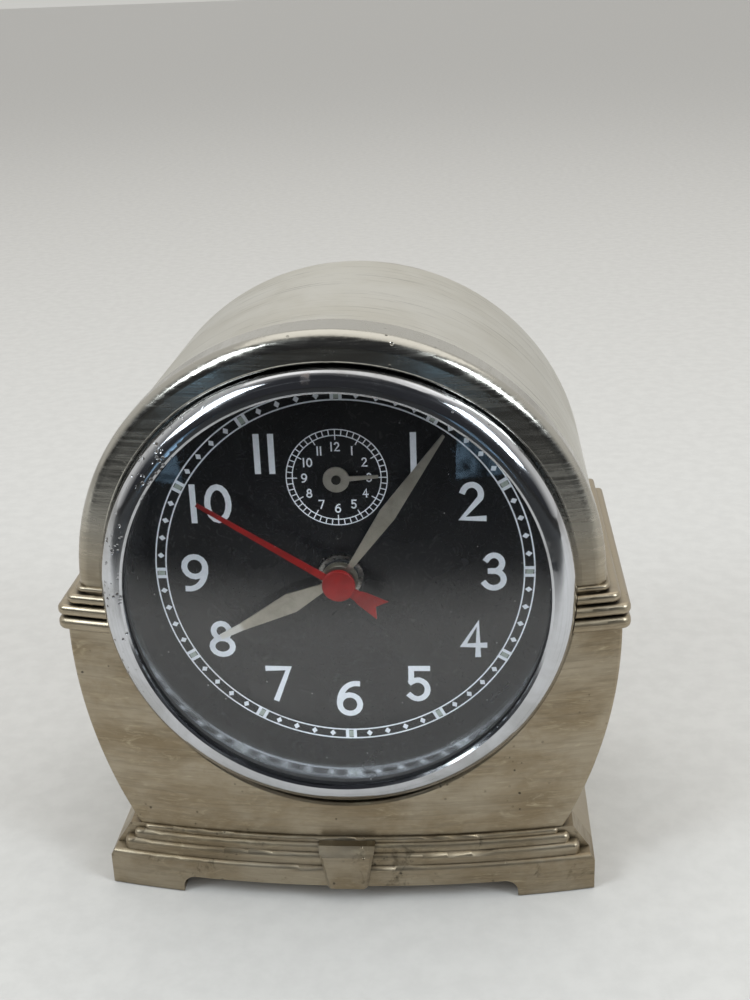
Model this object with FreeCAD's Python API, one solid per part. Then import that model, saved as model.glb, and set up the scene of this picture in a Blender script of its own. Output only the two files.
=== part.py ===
"""Mantel alarm clock: cast case, glazed dial insert, hands and a battery quartz movement.

Millimetres, +Z up, the dial faces -Y. The origin is midway across the width and the depth,
on the surface that the feet stand on.
"""
import FreeCAD, Part
import math
import os

Vector = FreeCAD.Vector

# ---- driving dimensions -------------------------------------------------------------------
AXIS_Z = 73.6                 # height of the hand axis
DEPTH = 80.0                  # keystone front to the rear rim
FRONT_Y = -DEPTH / 2
REAR_Y = DEPTH / 2
SEAT_Y = FRONT_Y + 7.1        # plane in which the bezel meets the case

BEZEL_R = 49.9                # outer radius of the polished bezel
HOLE_R = BEZEL_R + 0.35       # front hole of the case, with its dark gap
ARCH_R = 56.6                 # outer radius of the arch moulding
DRUM_R = ARCH_R - 0.4         # the drum sits just inside the arch
WALL = 2.0                    # casting wall

BOW_R = 250.0                 # the whole front is bowed in plan to this radius
FACE_Y = SEAT_Y - 2.2         # crown of the bowed face
CASTING_BACK_Y = SEAT_Y + 9.0

APRON_R = 97.4                # side outline of the lower case
APRON_SIDE_X = 60.2           # widest point of that outline
APRON_SIDE_Z = AXIS_Z - 12.0
APRON_TOP_Z = AXIS_Z - 5.0
APRON_ROUNDING = 0.8
SHELL_INSET = 0.4             # the rear shell sits this far inside the front casting
RIM_ROUNDING = 0.6            # rounded rim of the front hole
RIM_WIDTH = 3.0
ARCH_ROUNDING = 3.2
SHOULDER_Y = SEAT_Y + 3.0     # the bezel is seated against a shoulder this deep in the hole
SHOULDER_R = BEZEL_R - 1.5
POCKET_FRONT_Y = SEAT_Y + 5.5            # the hollow of the plinth starts here

PLINTH_TOP_Z = AXIS_Z - 58.6
PLINTH_PROUD = 0.3                       # the flared plinth stands this far before the apron
RIDGE_HEIGHTS = (1.1, 2.0, 2.7)          # three rounded ridges, from the top down
RIDGE_HALF_WIDTHS = (47.2, 49.6, 51.8)
RIDGE_ADVANCE = 0.95                     # each ridge stands this far before the one above
RIDGE_END_ROUNDING = 1.4
FOOT_HEIGHT = 4.4
FOOT_INNER_X = 38.0
FOOT_ARCH_ROUNDING = 3.0
FOOT_BLOCK_HEIGHT = 8.0
FOOT_BLOCK_DEPTH = 14.0
PAD_R = 4.0
PAD_FRONT_Y = CASTING_BACK_Y - 5.5
PAD_REAR_Y = REAR_Y - 7.5
PAD_THICK = 0.8
PAD_PROUD = 0.3               # the pads stand this far out of the feet
BASE_HALF_WIDTH = 55.2
PLINTH_TOP_HALF_WIDTH = 50.4
PLINTH_SLOPE_HEIGHT = 7.4                # the plinth flares out over this height

RIB_OUTER_X = (57.3, 59.5, 61.7, 61.8)   # a small ledge, then the three ribs
RIB_CENTRE_DROP = (0.5, 2.6, 5.3, 8.5)   # below the hand axis
RIB_HEIGHTS = (1.2, 2.2, 2.5, 3.0)
RIB_PROUD = (0.7, 1.8, 2.3, 2.3)         # ahead of the bowed face
RIB_CORNER_R = 2.2
RIB_ROUNDING_SHARE = 0.42                # of the rib's height

KEYSTONE_TOP_WIDTH = 12.6
KEYSTONE_BOTTOM_WIDTH = 8.4
KEYSTONE_HEIGHT = 10.6
KEYSTONE_DROP = 0.6           # below the top of the plinth
KEYSTONE_TOP_BEVEL = 1.9
KEYSTONE_SIDE_BEVEL = 0.6

LENS_R = BEZEL_R - 4.0
LENS_BACK_Y = SEAT_Y - 1.3
LENS_THICK = 1.5
LENS_RISE = 2.6

DIAL_Y = SEAT_Y + 10.7        # front face of the dial
DIAL_THICK = 0.6
ALARM_RISE = 22.15            # alarm arbor above the hand axis
ALARM_Z = AXIS_Z + ALARM_RISE

HOUR_ANGLE = 242.9            # stored time 8:05:50, clockwise from twelve
MINUTE_ANGLE = 34.9
SECOND_ANGLE = 302.5
ALARM_ANGLE = 86.0

RUN = 0.05                    # radial clearance of every running fit

# movement layers, all measured back from the dial's front face
HOUSING_HALF = 28.0           # half width of the movement
HOUSING_RISE = 36.0           # top of the movement above the hand axis
HOUSING_DROP = 29.5           # bottom of the movement below it
HOUSING_CORNER_R = 3.0
HOUSING_WALL = 1.2
HOUSING_FRONT_Y = DIAL_Y + 1.3
HOUSING_SPLIT_Y = HOUSING_FRONT_Y + 10.0
HOUSING_REAR_Y = HOUSING_FRONT_Y + 19.0
FRONT_WALL_BACK_Y = HOUSING_FRONT_Y + HOUSING_WALL
REAR_WALL_FRONT_Y = HOUSING_REAR_Y - HOUSING_WALL
MIDDLE_PLATE_Y = HOUSING_FRONT_Y + 7.8
MIDDLE_PLATE_THICK = 0.8
HOUR_GEAR_Y = (FRONT_WALL_BACK_Y + 0.3, FRONT_WALL_BACK_Y + 1.3)
CANNON_GEAR_Y = (FRONT_WALL_BACK_Y + 2.0, FRONT_WALL_BACK_Y + 3.0)
CENTRE_GEAR_Y = (FRONT_WALL_BACK_Y + 3.8, FRONT_WALL_BACK_Y + 4.6)
THIRD_GEAR_Y = (FRONT_WALL_BACK_Y + 5.4, FRONT_WALL_BACK_Y + 6.2)
SECOND_GEAR_Y = (MIDDLE_PLATE_Y + 1.1, MIDDLE_PLATE_Y + 1.9)
INTERMEDIATE_GEAR_Y = (MIDDLE_PLATE_Y + 2.6, MIDDLE_PLATE_Y + 3.4)
MAGNET_Y = (MIDDLE_PLATE_Y + 4.2, MIDDLE_PLATE_Y + 6.6)
STATOR_Y = (MIDDLE_PLATE_Y + 4.7, MIDDLE_PLATE_Y + 6.0)
BOARD_Y = (MIDDLE_PLATE_Y + 6.0, MIDDLE_PLATE_Y + 7.0)

HOUR_HAND_Y = DIAL_Y - 3.0
MINUTE_HAND_Y = DIAL_Y - 4.5
SECOND_HAND_Y = DIAL_Y - 6.2
ALARM_HAND_Y = DIAL_Y - 1.4
HAND_THICK = 0.35

# places inside the movement: x, and height above the hand axis
POST_POINTS = ((-24.0, 31.0), (24.0, 31.0), (-24.0, -8.2), (24.0, -8.2))
BOARD_PEGS = ((7.0, 12.0), (23.0, 12.0), (7.0, 24.5))
SWITCH_X = 16.0
SWITCH_Z = AXIS_Z + 19.0
SWITCH_TRAVEL = 4.0
BUZZER_X = 16.0
BUZZER_Z = AXIS_Z - 1.2
BUZZER_R = 8.8
COIL_Z = AXIS_Z + 22.4
STATOR_LEFT, STATOR_RIGHT = -25.5, -5.2

# gear train: teeth and centre distances
CANNON_TEETH, MOTION_TEETH = 12, 36
MOTION_PINION_TEETH, HOUR_TEETH = 10, 40
SECOND_PINION_TEETH, THIRD_TEETH = 8, 60
THIRD_PINION_TEETH, CENTRE_TEETH = 8, 64
SECOND_TEETH, INTERMEDIATE_PINION_TEETH = 48, 8
INTERMEDIATE_TEETH, ROTOR_PINION_TEETH = 40, 8
HOUR_MODULE = ALARM_RISE / HOUR_TEETH    # the trip wheel has as many teeth as the hour wheel
MOTION_DISTANCE = HOUR_MODULE * (MOTION_PINION_TEETH + HOUR_TEETH) / 2
THIRD_DISTANCE = 12.4
INTERMEDIATE_DISTANCE = 9.8
ROTOR_DISTANCE = 8.4
MOTION_BEARING = 160.0        # directions of the centre lines, from +X towards +Z
THIRD_BEARING = 20.0
INTERMEDIATE_BEARING = 110.0
ROTOR_BEARING = 150.0

SECOND_ARBOR_R = 1.0
MINUTE_PIPE_R = 2.1
HOUR_PIPE_R = 3.15
BUSH_R = 4.0
NUT_R = 4.9
ALARM_ARBOR_R = 1.0
KNOB_SHAFT_R = 1.0
PIVOT_R = 0.6
PIVOT_DEPTH = 0.7

BATTERY_R = 7.1
BATTERY_LENGTH = 50.0
BATTERY_DROP = 19.95          # below the hand axis
BATTERY_Y = HOUSING_REAR_Y - 8.0
TRAY_TOP_DROP = 11.6          # top of the battery tray below the hand axis
TRAY_FRONT_Y = HOUSING_FRONT_Y + 2.8
TRAY_WALL = 1.0

COVER_R = DRUM_R - WALL - 0.2
COVER_Y = REAR_Y - 6.4
COVER_THICK = 2.0
WELL_MARGIN = 3.0             # finger room round the movement
WELL_WALL = 1.5
WELL_CORNER_R = 4.0
VENT_COUNT = 7
VENT_PITCH = 4.0
VENT_LENGTH = 7.0
VENT_TOP_RISE = 50.0          # above the hand axis
COVER_SCREW_RADIUS = 50.4
COVER_SCREW_ANGLES = (30, 150, 210, 330)
DIAL_SCREW_RADIUS = 52.4
DIAL_SCREW_ANGLES = (35, 145, 215, 325)


# ---- small helpers ------------------------------------------------------------------------
def box(x0, x1, y0, y1, z0, z1):
    return Part.makeBox(x1 - x0, y1 - y0, z1 - z0, Vector(x0, y0, z0))


def rod(radius, y0, y1, x=0.0, z=AXIS_Z):
    """Cylinder along Y."""
    return Part.makeCylinder(radius, y1 - y0, Vector(x, y0, z), Vector(0, 1, 0))


def tube(inner, outer, y0, y1, x=0.0, z=AXIS_Z):
    return rod(outer, y0, y1, x, z).cut(rod(inner, y0 - 1, y1 + 1, x, z))


def plate_xz(points, y0, y1):
    """Straight-sided outline of (x, z) points, from y0 to y1."""
    corners = [Vector(x, y0, z) for x, z in points]
    face = Part.Face(Part.makePolygon(corners + corners[:1]))
    return face.extrude(Vector(0, y1 - y0, 0))


def turned(profile, x=0.0, z=AXIS_Z):
    """Solid of revolution about the Y direction from (radius, y) points."""
    corners = [Vector(x + radius, y, z) for radius, y in profile]
    face = Part.Face(Part.makePolygon(corners + corners[:1]))
    return face.revolve(Vector(x, 0, z), Vector(0, 1, 0), 360)


def fuse_all(shapes):
    whole = shapes[0].Solids[0]
    for shape in shapes[1:]:
        whole = whole.fuse(shape)
    return whole


def single(shape):
    """One clean solid."""
    return shape.removeSplitter().Solids[0]


def polar(radius, degrees):
    """(x, z) at a bearing from +X towards +Z."""
    angle = math.radians(degrees)
    return radius * math.cos(angle), radius * math.sin(angle)


def mirrored(shape):
    return shape.mirror(Vector(0, 0, 0), Vector(1, 0, 0))


def turn_clockwise(shape, degrees, x=0.0, z=AXIS_Z):
    """Turns a hand drawn at twelve o'clock to its bearing, seen from the front."""
    return shape.rotate(Vector(x, 0, z), Vector(0, 1, 0), degrees)


def fillet_edges(shape, radius, wanted):
    edges = [edge for edge in shape.Edges if wanted(edge)]
    return shape.makeFillet(radius, edges)


def bow(front_y):
    """Tall cylinder whose near side is the bowed front surface."""
    return Part.makeCylinder(BOW_R, 400, Vector(0, front_y + BOW_R, -100), Vector(0, 0, 1))


def bow_y(front_y, x):
    return front_y + BOW_R - math.sqrt(BOW_R ** 2 - x ** 2)


def is_on_bow(edge, front_y):
    """True for an edge that lies in the bowed surface."""
    first, last = edge.ParameterRange
    for share in (0.0, 0.5, 1.0):
        point = edge.valueAt(first + share * (last - first))
        if abs(point.y - bow_y(front_y, point.x)) > 0.02:
            return False
    return True


# ---- case outlines ------------------------------------------------------------------------
def apron_x(z, inset=0.0):
    """Half width of the lower case at height z."""
    return APRON_SIDE_X - APRON_R + math.sqrt((APRON_R - inset) ** 2 - (z - APRON_SIDE_Z) ** 2)


def apron_solid(y0, y1, bottom_z, inset=0.0):
    """Lower case: arched sides from the ribs down to the plinth."""
    middle_z = (APRON_TOP_Z + bottom_z) / 2
    top_left, top_right = [Vector(side * apron_x(APRON_TOP_Z, inset), y0, APRON_TOP_Z) for side in (-1, 1)]
    low_left, low_right = [Vector(side * apron_x(bottom_z, inset), y0, bottom_z) for side in (-1, 1)]
    mid_left, mid_right = [Vector(side * apron_x(middle_z, inset), y0, middle_z) for side in (-1, 1)]
    edges = [
        Part.Arc(top_left, mid_left, low_left).toShape(),
        Part.LineSegment(low_left, low_right).toShape(),
        Part.Arc(low_right, mid_right, top_right).toShape(),
        Part.LineSegment(top_right, top_left).toShape(),
    ]
    return Part.Face(Part.Wire(edges)).extrude(Vector(0, y1 - y0, 0))


def plinth_prism(y0, y1, z0, inset=0.0):
    """Flared plinth block, from z0 up to the bottom of the apron."""
    knee_z = PLINTH_TOP_Z - PLINTH_SLOPE_HEIGHT
    half = [
        (BASE_HALF_WIDTH - inset, z0),
        (BASE_HALF_WIDTH - inset, knee_z),
        (PLINTH_TOP_HALF_WIDTH - inset, PLINTH_TOP_Z),
    ]
    return plate_xz(half + [(-x, z) for x, z in reversed(half)], y0, y1)


def side_rib(index):
    """One rib of the right side, from the bezel hole round the corner to the rear rim."""
    front = FACE_Y - RIB_PROUD[index]
    centre_z = AXIS_Z - RIB_CENTRE_DROP[index]
    half = RIB_HEIGHTS[index] / 2
    outer = RIB_OUTER_X[index]
    bar = box(HOLE_R - 3, outer, FRONT_Y, REAR_Y, centre_z - half, centre_z + half).common(bow(front))
    bar = fillet_edges(bar, RIB_CORNER_R, lambda e: abs(e.Vertexes[0].Z - e.Vertexes[-1].Z) > half
                       and e.Vertexes[0].X > outer - 0.1 and e.Vertexes[0].Y < SEAT_Y + 12)
    rounding = RIB_ROUNDING_SHARE * RIB_HEIGHTS[index]
    return fillet_edges(bar, rounding, lambda e: e.BoundBox.ZLength < 0.01
                        and e.BoundBox.XMax > outer - RIB_CORNER_R - 0.5 and e.BoundBox.YMin < REAR_Y - 1)


def side_ribs(y0, y1):
    """The ledge and three ribs of both sides between two planes."""
    reach = RIB_OUTER_X[-1] + 1
    slab = box(-reach, reach, y0, y1, 0, 2 * AXIS_Z)
    right = [side_rib(index).common(slab) for index in range(len(RIB_OUTER_X))]
    return right + [mirrored(rib) for rib in right]


# ---- case ---------------------------------------------------------------------------------
def is_hole_rim(edge):
    """True for an edge where the bowed face meets the front hole."""
    middle = edge.valueAt(sum(edge.ParameterRange) / 2)
    return is_on_bow(edge, FACE_Y) and abs(math.hypot(middle.x, middle.z - AXIS_Z) - HOLE_R) < 0.01


def rimmed_ring(outer_radius):
    """Bowed ring round the front hole, with a rounded rim."""
    ring = rod(outer_radius, FRONT_Y, CASTING_BACK_Y).common(bow(FACE_Y))
    ring = ring.cut(rod(HOLE_R, FRONT_Y - 5, REAR_Y))
    return fillet_edges(ring, RIM_ROUNDING, is_hole_rim)


def arch_moulding():
    """Rounded moulding over the dial, down to the ribs."""
    ring = fillet_edges(rimmed_ring(ARCH_R), ARCH_ROUNDING, lambda e: is_on_bow(e, FACE_Y))
    lowest = AXIS_Z - RIB_CENTRE_DROP[2]
    return ring.common(box(-ARCH_R - 1, ARCH_R + 1, FRONT_Y, REAR_Y, lowest, AXIS_Z + ARCH_R + 1))


def apron_front():
    """Bowed plate below the ribs, with the lower half of the rounded rim."""
    plate = apron_solid(FRONT_Y, CASTING_BACK_Y, PLINTH_TOP_Z).common(bow(FACE_Y))
    plate = fillet_edges(plate, APRON_ROUNDING, lambda e: is_on_bow(e, FACE_Y) and e.BoundBox.ZLength > 20)
    rim_radius = HOLE_R + RIM_WIDTH
    lower = box(-rim_radius, rim_radius, FRONT_Y - 1, REAR_Y, 0, APRON_TOP_Z)
    return plate.cut(rod(rim_radius, FRONT_Y - 5, REAR_Y)).fuse(rimmed_ring(rim_radius).common(lower))


def plinth_ridge(index, top):
    """One bowed ridge with rounded ends and a rounded top."""
    height, half = RIDGE_HEIGHTS[index], RIDGE_HALF_WIDTHS[index]
    front = FACE_Y - (index + 1) * RIDGE_ADVANCE
    ridge = box(-half, half, FRONT_Y, CASTING_BACK_Y, top - height, top).common(bow(front))
    ridge = fillet_edges(ridge, RIDGE_END_ROUNDING, lambda e: e.BoundBox.ZLength > 0.5 * height
                         and e.BoundBox.YMax < CASTING_BACK_Y - 1)
    rounding = min(0.62 * height, 1.1)
    return fillet_edges(ridge, rounding, lambda e: abs(e.BoundBox.ZMin - top) < 0.01
                        and e.BoundBox.ZLength < 0.01 and e.BoundBox.YMin < CASTING_BACK_Y - 1)


def plinth_front():
    """Flared plinth, its plain base and the three ridges before it."""
    prism = plinth_prism(FRONT_Y, CASTING_BACK_Y, 0)
    base_top = PLINTH_TOP_Z - sum(RIDGE_HEIGHTS)
    front = FACE_Y - (len(RIDGE_HEIGHTS) + 1) * RIDGE_ADVANCE
    base = box(-BASE_HALF_WIDTH, BASE_HALF_WIDTH, FRONT_Y, CASTING_BACK_Y, 0, base_top).common(bow(front))
    base = fillet_edges(base.common(prism), 1.1, lambda e: is_on_bow(e, front)
                        and abs(e.BoundBox.ZMin - base_top) < 0.01)
    tops = [PLINTH_TOP_Z - sum(RIDGE_HEIGHTS[:index]) for index in range(len(RIDGE_HEIGHTS))]
    ridges = [plinth_ridge(index, top) for index, top in enumerate(tops)]
    return [prism.common(bow(FACE_Y - PLINTH_PROUD)), base] + ridges


def keystone():
    """Tapered block at the middle of the plinth, with bevelled edges."""
    base_front = FACE_Y - (len(RIDGE_HEIGHTS) + 1) * RIDGE_ADVANCE
    top = PLINTH_TOP_Z - KEYSTONE_DROP
    bottom = top - KEYSTONE_HEIGHT
    outline = [
        (KEYSTONE_BOTTOM_WIDTH / 2, bottom),
        (KEYSTONE_TOP_WIDTH / 2, top),
        (-KEYSTONE_TOP_WIDTH / 2, top),
        (-KEYSTONE_BOTTOM_WIDTH / 2, bottom),
    ]
    block = plate_xz(outline, FRONT_Y, base_front + 4)
    top_edge = [e for e in block.Edges if abs(e.BoundBox.ZMin - top) < 0.01
                and e.BoundBox.YMax < FRONT_Y + 0.01]
    block = block.makeChamfer(KEYSTONE_TOP_BEVEL, top_edge)
    side_edges = [e for e in block.Edges if e.BoundBox.YMax < FRONT_Y + 0.01 and e.BoundBox.ZLength > 3]
    return block.makeChamfer(KEYSTONE_SIDE_BEVEL, side_edges)


def foot_channel(y0, y1):
    """Space between the left and right feet, with rounded upper corners."""
    channel = box(-FOOT_INNER_X, FOOT_INNER_X, y0, y1, -5, FOOT_HEIGHT)
    return fillet_edges(channel, FOOT_ARCH_ROUNDING, lambda e: e.BoundBox.YLength > 1
                        and abs(e.BoundBox.ZMax - FOOT_HEIGHT) < 0.01 and e.BoundBox.ZLength < 0.01)


def pedestal_hollow(y0, y1):
    """Hollow under the drum, open below."""
    upper = apron_solid(y0, y1, PLINTH_TOP_Z - 1, WALL + SHELL_INSET)
    lower = plinth_prism(y0, y1, -1, WALL)
    hollow = upper.fuse(lower)
    return hollow.cut(rod(DRUM_R, y0 - 1, y1 + 1))


def screw_points(radius, angles):
    return [polar(radius, angle) for angle in angles]


def front_casting():
    """Arch, apron, stepped plinth, keystone and the front run of the side ribs."""
    solid = fuse_all([arch_moulding(), apron_front()] + plinth_front() + side_ribs(FRONT_Y, CASTING_BACK_Y))
    solid = solid.fuse(keystone()).cut(rod(HOLE_R, FRONT_Y - 5, CASTING_BACK_Y + 1))
    solid = solid.fuse(tube(SHOULDER_R, HOLE_R + 1.0, SHOULDER_Y, CASTING_BACK_Y))
    solid = solid.cut(pedestal_hollow(POCKET_FRONT_Y, CASTING_BACK_Y + 1))
    solid = solid.cut(foot_channel(FRONT_Y - 1, CASTING_BACK_Y + 1))
    for block in foot_blocks(POCKET_FRONT_Y - 1, CASTING_BACK_Y):
        solid = solid.fuse(block)
    for x, z in screw_points(DIAL_SCREW_RADIUS, DIAL_SCREW_ANGLES):
        solid = solid.cut(rod(1.0, CASTING_BACK_Y - 4, CASTING_BACK_Y + 1, x, AXIS_Z + z))
    return stand_on_pads(solid).Solids[0]


def case_shell():
    """Drum, the hollow pedestal under it, and the ribs along both sides."""
    y0, y1 = CASTING_BACK_Y, REAR_Y
    drum = fillet_edges(rod(DRUM_R, y0, y1), 1.2, lambda e: e.Closed and e.BoundBox.YMin > y1 - 0.1)
    lower = apron_solid(y0, y1, PLINTH_TOP_Z, SHELL_INSET)
    solid = fuse_all([drum, lower, plinth_prism(y0, y1, 0)] + side_ribs(y0, y1))
    solid = solid.cut(pedestal_hollow(y0 - 1, y1 - WALL))
    solid = solid.cut(foot_channel(y0 - 1, y1 + 1))
    for block in foot_blocks(y1 - 1 - FOOT_BLOCK_DEPTH, y1 - 1):
        solid = solid.fuse(block)
    solid = solid.cut(rod(DRUM_R - WALL, y0 - 1, y1 + 1))
    boss_front, boss_back = COVER_Y - 10, COVER_Y
    for x, z in screw_points(COVER_SCREW_RADIUS, COVER_SCREW_ANGLES):
        boss = rod(4.0, boss_front, boss_back, x, AXIS_Z + z).common(rod(DRUM_R - 0.5, y0, y1))
        solid = solid.fuse(boss).cut(rod(1.5, boss_front + 2, boss_back + 1, x, AXIS_Z + z))
    return stand_on_pads(solid).Solids[0]


def pad_points():
    """(x, y) of the four pads, two under each casting."""
    centre_x = (FOOT_INNER_X + BASE_HALF_WIDTH) / 2
    return [(side * centre_x, y) for side in (-1, 1) for y in (PAD_FRONT_Y, PAD_REAR_Y)]


def foot_blocks(y0, y1):
    """Solid left and right feet between two planes, inside the plinth's outline."""
    blocks = [box(FOOT_INNER_X, BASE_HALF_WIDTH - 0.5, y0, y1, 0, FOOT_BLOCK_HEIGHT)]
    return blocks + [mirrored(block) for block in blocks]


def stand_on_pads(solid):
    """Lifts the feet off the surface and sinks the pads into them."""
    span = BASE_HALF_WIDTH + 1
    solid = solid.cut(box(-span, span, FRONT_Y - 1, REAR_Y + 1, -1, PAD_PROUD))
    for x, y in pad_points():
        solid = solid.cut(Part.makeCylinder(PAD_R, PAD_THICK + 1, Vector(x, y, -1), Vector(0, 0, 1)))
    return solid


def foot_pads():
    """Four thin pads let into the feet."""
    return [Part.makeCylinder(PAD_R, PAD_THICK, Vector(x, y, 0), Vector(0, 0, 1)) for x, y in pad_points()]


# ---- dial insert --------------------------------------------------------------------------
def bezel():
    """Polished ring with a convex front, a seat for the lens and a skirt behind."""
    crest_y = SEAT_Y - 4.2
    outline = [
        Vector(BEZEL_R, SEAT_Y + 3.0, AXIS_Z),
        Vector(BEZEL_R, SEAT_Y - 0.4, AXIS_Z),
    ]
    crest = Vector(BEZEL_R - 4.7, crest_y, AXIS_Z)
    bulge = Vector(BEZEL_R - 1.2, SEAT_Y - 2.9, AXIS_Z)
    inner = [
        Vector(BEZEL_R - 5.2, crest_y + 0.4, AXIS_Z),
        Vector(BEZEL_R - 5.2, crest_y + 1.2, AXIS_Z),
        Vector(BEZEL_R - 3.9, crest_y + 1.2, AXIS_Z),
        Vector(BEZEL_R - 3.9, SEAT_Y + 6.0, AXIS_Z),
        Vector(BEZEL_R - 1.7, SEAT_Y + 6.0, AXIS_Z),
        Vector(BEZEL_R - 1.7, SEAT_Y + 3.0, AXIS_Z),
    ]
    edges = [Part.LineSegment(outline[0], outline[1]).toShape(), Part.Arc(outline[1], bulge, crest).toShape()]
    chain = [crest] + inner + [outline[0]]
    edges += [Part.LineSegment(a, b).toShape() for a, b in zip(chain, chain[1:])]
    face = Part.Face(Part.Wire(edges))
    return face.revolve(Vector(0, 0, AXIS_Z), Vector(0, 1, 0), 360).Solids[0]


def lens():
    """Domed glass of even thickness with a flat rim."""
    dome_r = (LENS_R ** 2 + LENS_RISE ** 2) / (2 * LENS_RISE)
    centre = Vector(0, LENS_BACK_Y - LENS_THICK - LENS_RISE + dome_r, AXIS_Z)
    outer = Part.makeSphere(dome_r, centre)
    inner = Part.makeSphere(dome_r - LENS_THICK, centre)
    blank = rod(LENS_R, LENS_BACK_Y - LENS_THICK - LENS_RISE - 1, LENS_BACK_Y)
    return single(blank.common(outer).cut(inner))


def lens_gasket():
    return tube(LENS_R - 1.3, LENS_R, LENS_BACK_Y, LENS_BACK_Y + 1.2)


def reflector_ring():
    """Polished wall between lens and dial, with a flange that holds the dial."""
    front, back = LENS_BACK_Y + 1.2, DIAL_Y
    flange_r = DRUM_R - WALL - 0.3
    profile = [
        (LENS_R - 0.75, front),
        (LENS_R - 0.05, front),
        (LENS_R - 0.05, back - 1.7),
        (flange_r, back - 1.7),
        (flange_r, back),
        (LENS_R - 1.05, back),
    ]
    ring = turned(profile)
    for x, z in screw_points(DIAL_SCREW_RADIUS, DIAL_SCREW_ANGLES):
        ring = ring.cut(rod(1.1, back - 3, back + 1, x, AXIS_Z + z))
    return single(ring)


def dial():
    disc = rod(DRUM_R - WALL - 0.3, DIAL_Y, DIAL_Y + DIAL_THICK)
    disc = disc.cut(rod(BUSH_R + 0.05, DIAL_Y - 1, DIAL_Y + 2))
    disc = disc.cut(rod(ALARM_ARBOR_R + 0.4, DIAL_Y - 1, DIAL_Y + 2, 0, ALARM_Z))
    for x, z in screw_points(DIAL_SCREW_RADIUS, DIAL_SCREW_ANGLES):
        disc = disc.cut(rod(1.1, DIAL_Y - 1, DIAL_Y + 2, x, AXIS_Z + z))
    return single(disc)


def pan_screw(head_radius, head_height, shank_radius, shank_length, head_y, x, z):
    """Screw driven forwards: its head rests on head_y and its shank runs towards -Y."""
    head = rod(head_radius, head_y, head_y + head_height, x, z)
    head = fillet_edges(head, 0.45 * head_height, lambda e: e.Closed and e.BoundBox.YMin > head_y + 0.1)
    slot = box(x - 0.3 * head_radius, x + 0.3 * head_radius, head_y + 0.5 * head_height,
               head_y + 2 * head_height, z - 0.1 * head_radius, z + 0.1 * head_radius)
    cross = slot.fuse(slot.copy().rotate(Vector(x, 0, z), Vector(0, 1, 0), 90))
    return single(head.fuse(rod(shank_radius, head_y - shank_length, head_y, x, z)).cut(cross))


def dial_screws():
    points = screw_points(DIAL_SCREW_RADIUS, DIAL_SCREW_ANGLES)
    return [pan_screw(1.7, 1.0, 1.0, 4.6, DIAL_Y + DIAL_THICK, x, AXIS_Z + z) for x, z in points]


def movement_washer():
    """Soft washer between dial and movement."""
    return tube(BUSH_R + 0.05, 7.5, DIAL_Y + DIAL_THICK, HOUSING_FRONT_Y)


def fixing_nut():
    """Round slotted nut on the movement bush, in front of the dial."""
    nut = tube(BUSH_R, NUT_R, DIAL_Y - 1.3, DIAL_Y)
    slot = box(-NUT_R - 1, NUT_R + 1, DIAL_Y - 2, DIAL_Y - 0.8, AXIS_Z - 0.45, AXIS_Z + 0.45)
    return single(nut.cut(slot))


# ---- gears --------------------------------------------------------------------------------
def gear(teeth, module, y0, y1, x, z, tooth_bearing):
    """Spur gear with slightly thin straight-sided teeth, one centred on tooth_bearing."""
    pitch_radius = module * teeth / 2
    step = 360.0 / teeth
    corners = []
    for index in range(teeth):
        centre = tooth_bearing + index * step
        for offset, radius in ((-0.27, -1.15), (-0.13, 0.8), (0.13, 0.8), (0.27, -1.15)):
            dx, dz = polar(pitch_radius + radius * module, centre + offset * step)
            corners.append((x + dx, z + dz))
    return plate_xz(corners, y0, y1)


def gear_module(distance, teeth_a, teeth_b):
    return 2 * distance / (teeth_a + teeth_b)


def gap_bearing(direction, teeth):
    """Tooth bearing that turns a gap towards direction."""
    return direction + 180.0 / teeth


MOTION_X, MOTION_DZ = polar(MOTION_DISTANCE, MOTION_BEARING)
THIRD_X, THIRD_DZ = polar(THIRD_DISTANCE, THIRD_BEARING)
INTERMEDIATE_X, INTERMEDIATE_DZ = polar(INTERMEDIATE_DISTANCE, INTERMEDIATE_BEARING)
ROTOR_STEP_X, ROTOR_STEP_DZ = polar(ROTOR_DISTANCE, ROTOR_BEARING)
MOTION_Z = AXIS_Z + MOTION_DZ
THIRD_Z = AXIS_Z + THIRD_DZ
INTERMEDIATE_Z = AXIS_Z + INTERMEDIATE_DZ
ROTOR_X = INTERMEDIATE_X + ROTOR_STEP_X
ROTOR_Z = INTERMEDIATE_Z + ROTOR_STEP_DZ


def hour_wheel():
    pipe = rod(HOUR_PIPE_R, HOUR_HAND_Y - 0.3, HOUR_GEAR_Y[1])
    wheel = gear(HOUR_TEETH, HOUR_MODULE, *HOUR_GEAR_Y, 0, AXIS_Z, gap_bearing(MOTION_BEARING, HOUR_TEETH))
    return single(pipe.fuse(wheel).cut(rod(MINUTE_PIPE_R + RUN, HOUR_HAND_Y - 1, HOUR_GEAR_Y[1] + 1)))


def minute_pipe():
    pipe = rod(MINUTE_PIPE_R, MINUTE_HAND_Y - 0.3, CENTRE_GEAR_Y[1] + 0.2)
    module = gear_module(MOTION_DISTANCE, CANNON_TEETH, MOTION_TEETH)
    pinion = gear(CANNON_TEETH, module, *CANNON_GEAR_Y, 0, AXIS_Z, MOTION_BEARING)
    return single(pipe.fuse(pinion).cut(rod(SECOND_ARBOR_R + RUN, MINUTE_HAND_Y - 1, THIRD_GEAR_Y[1])))


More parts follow.
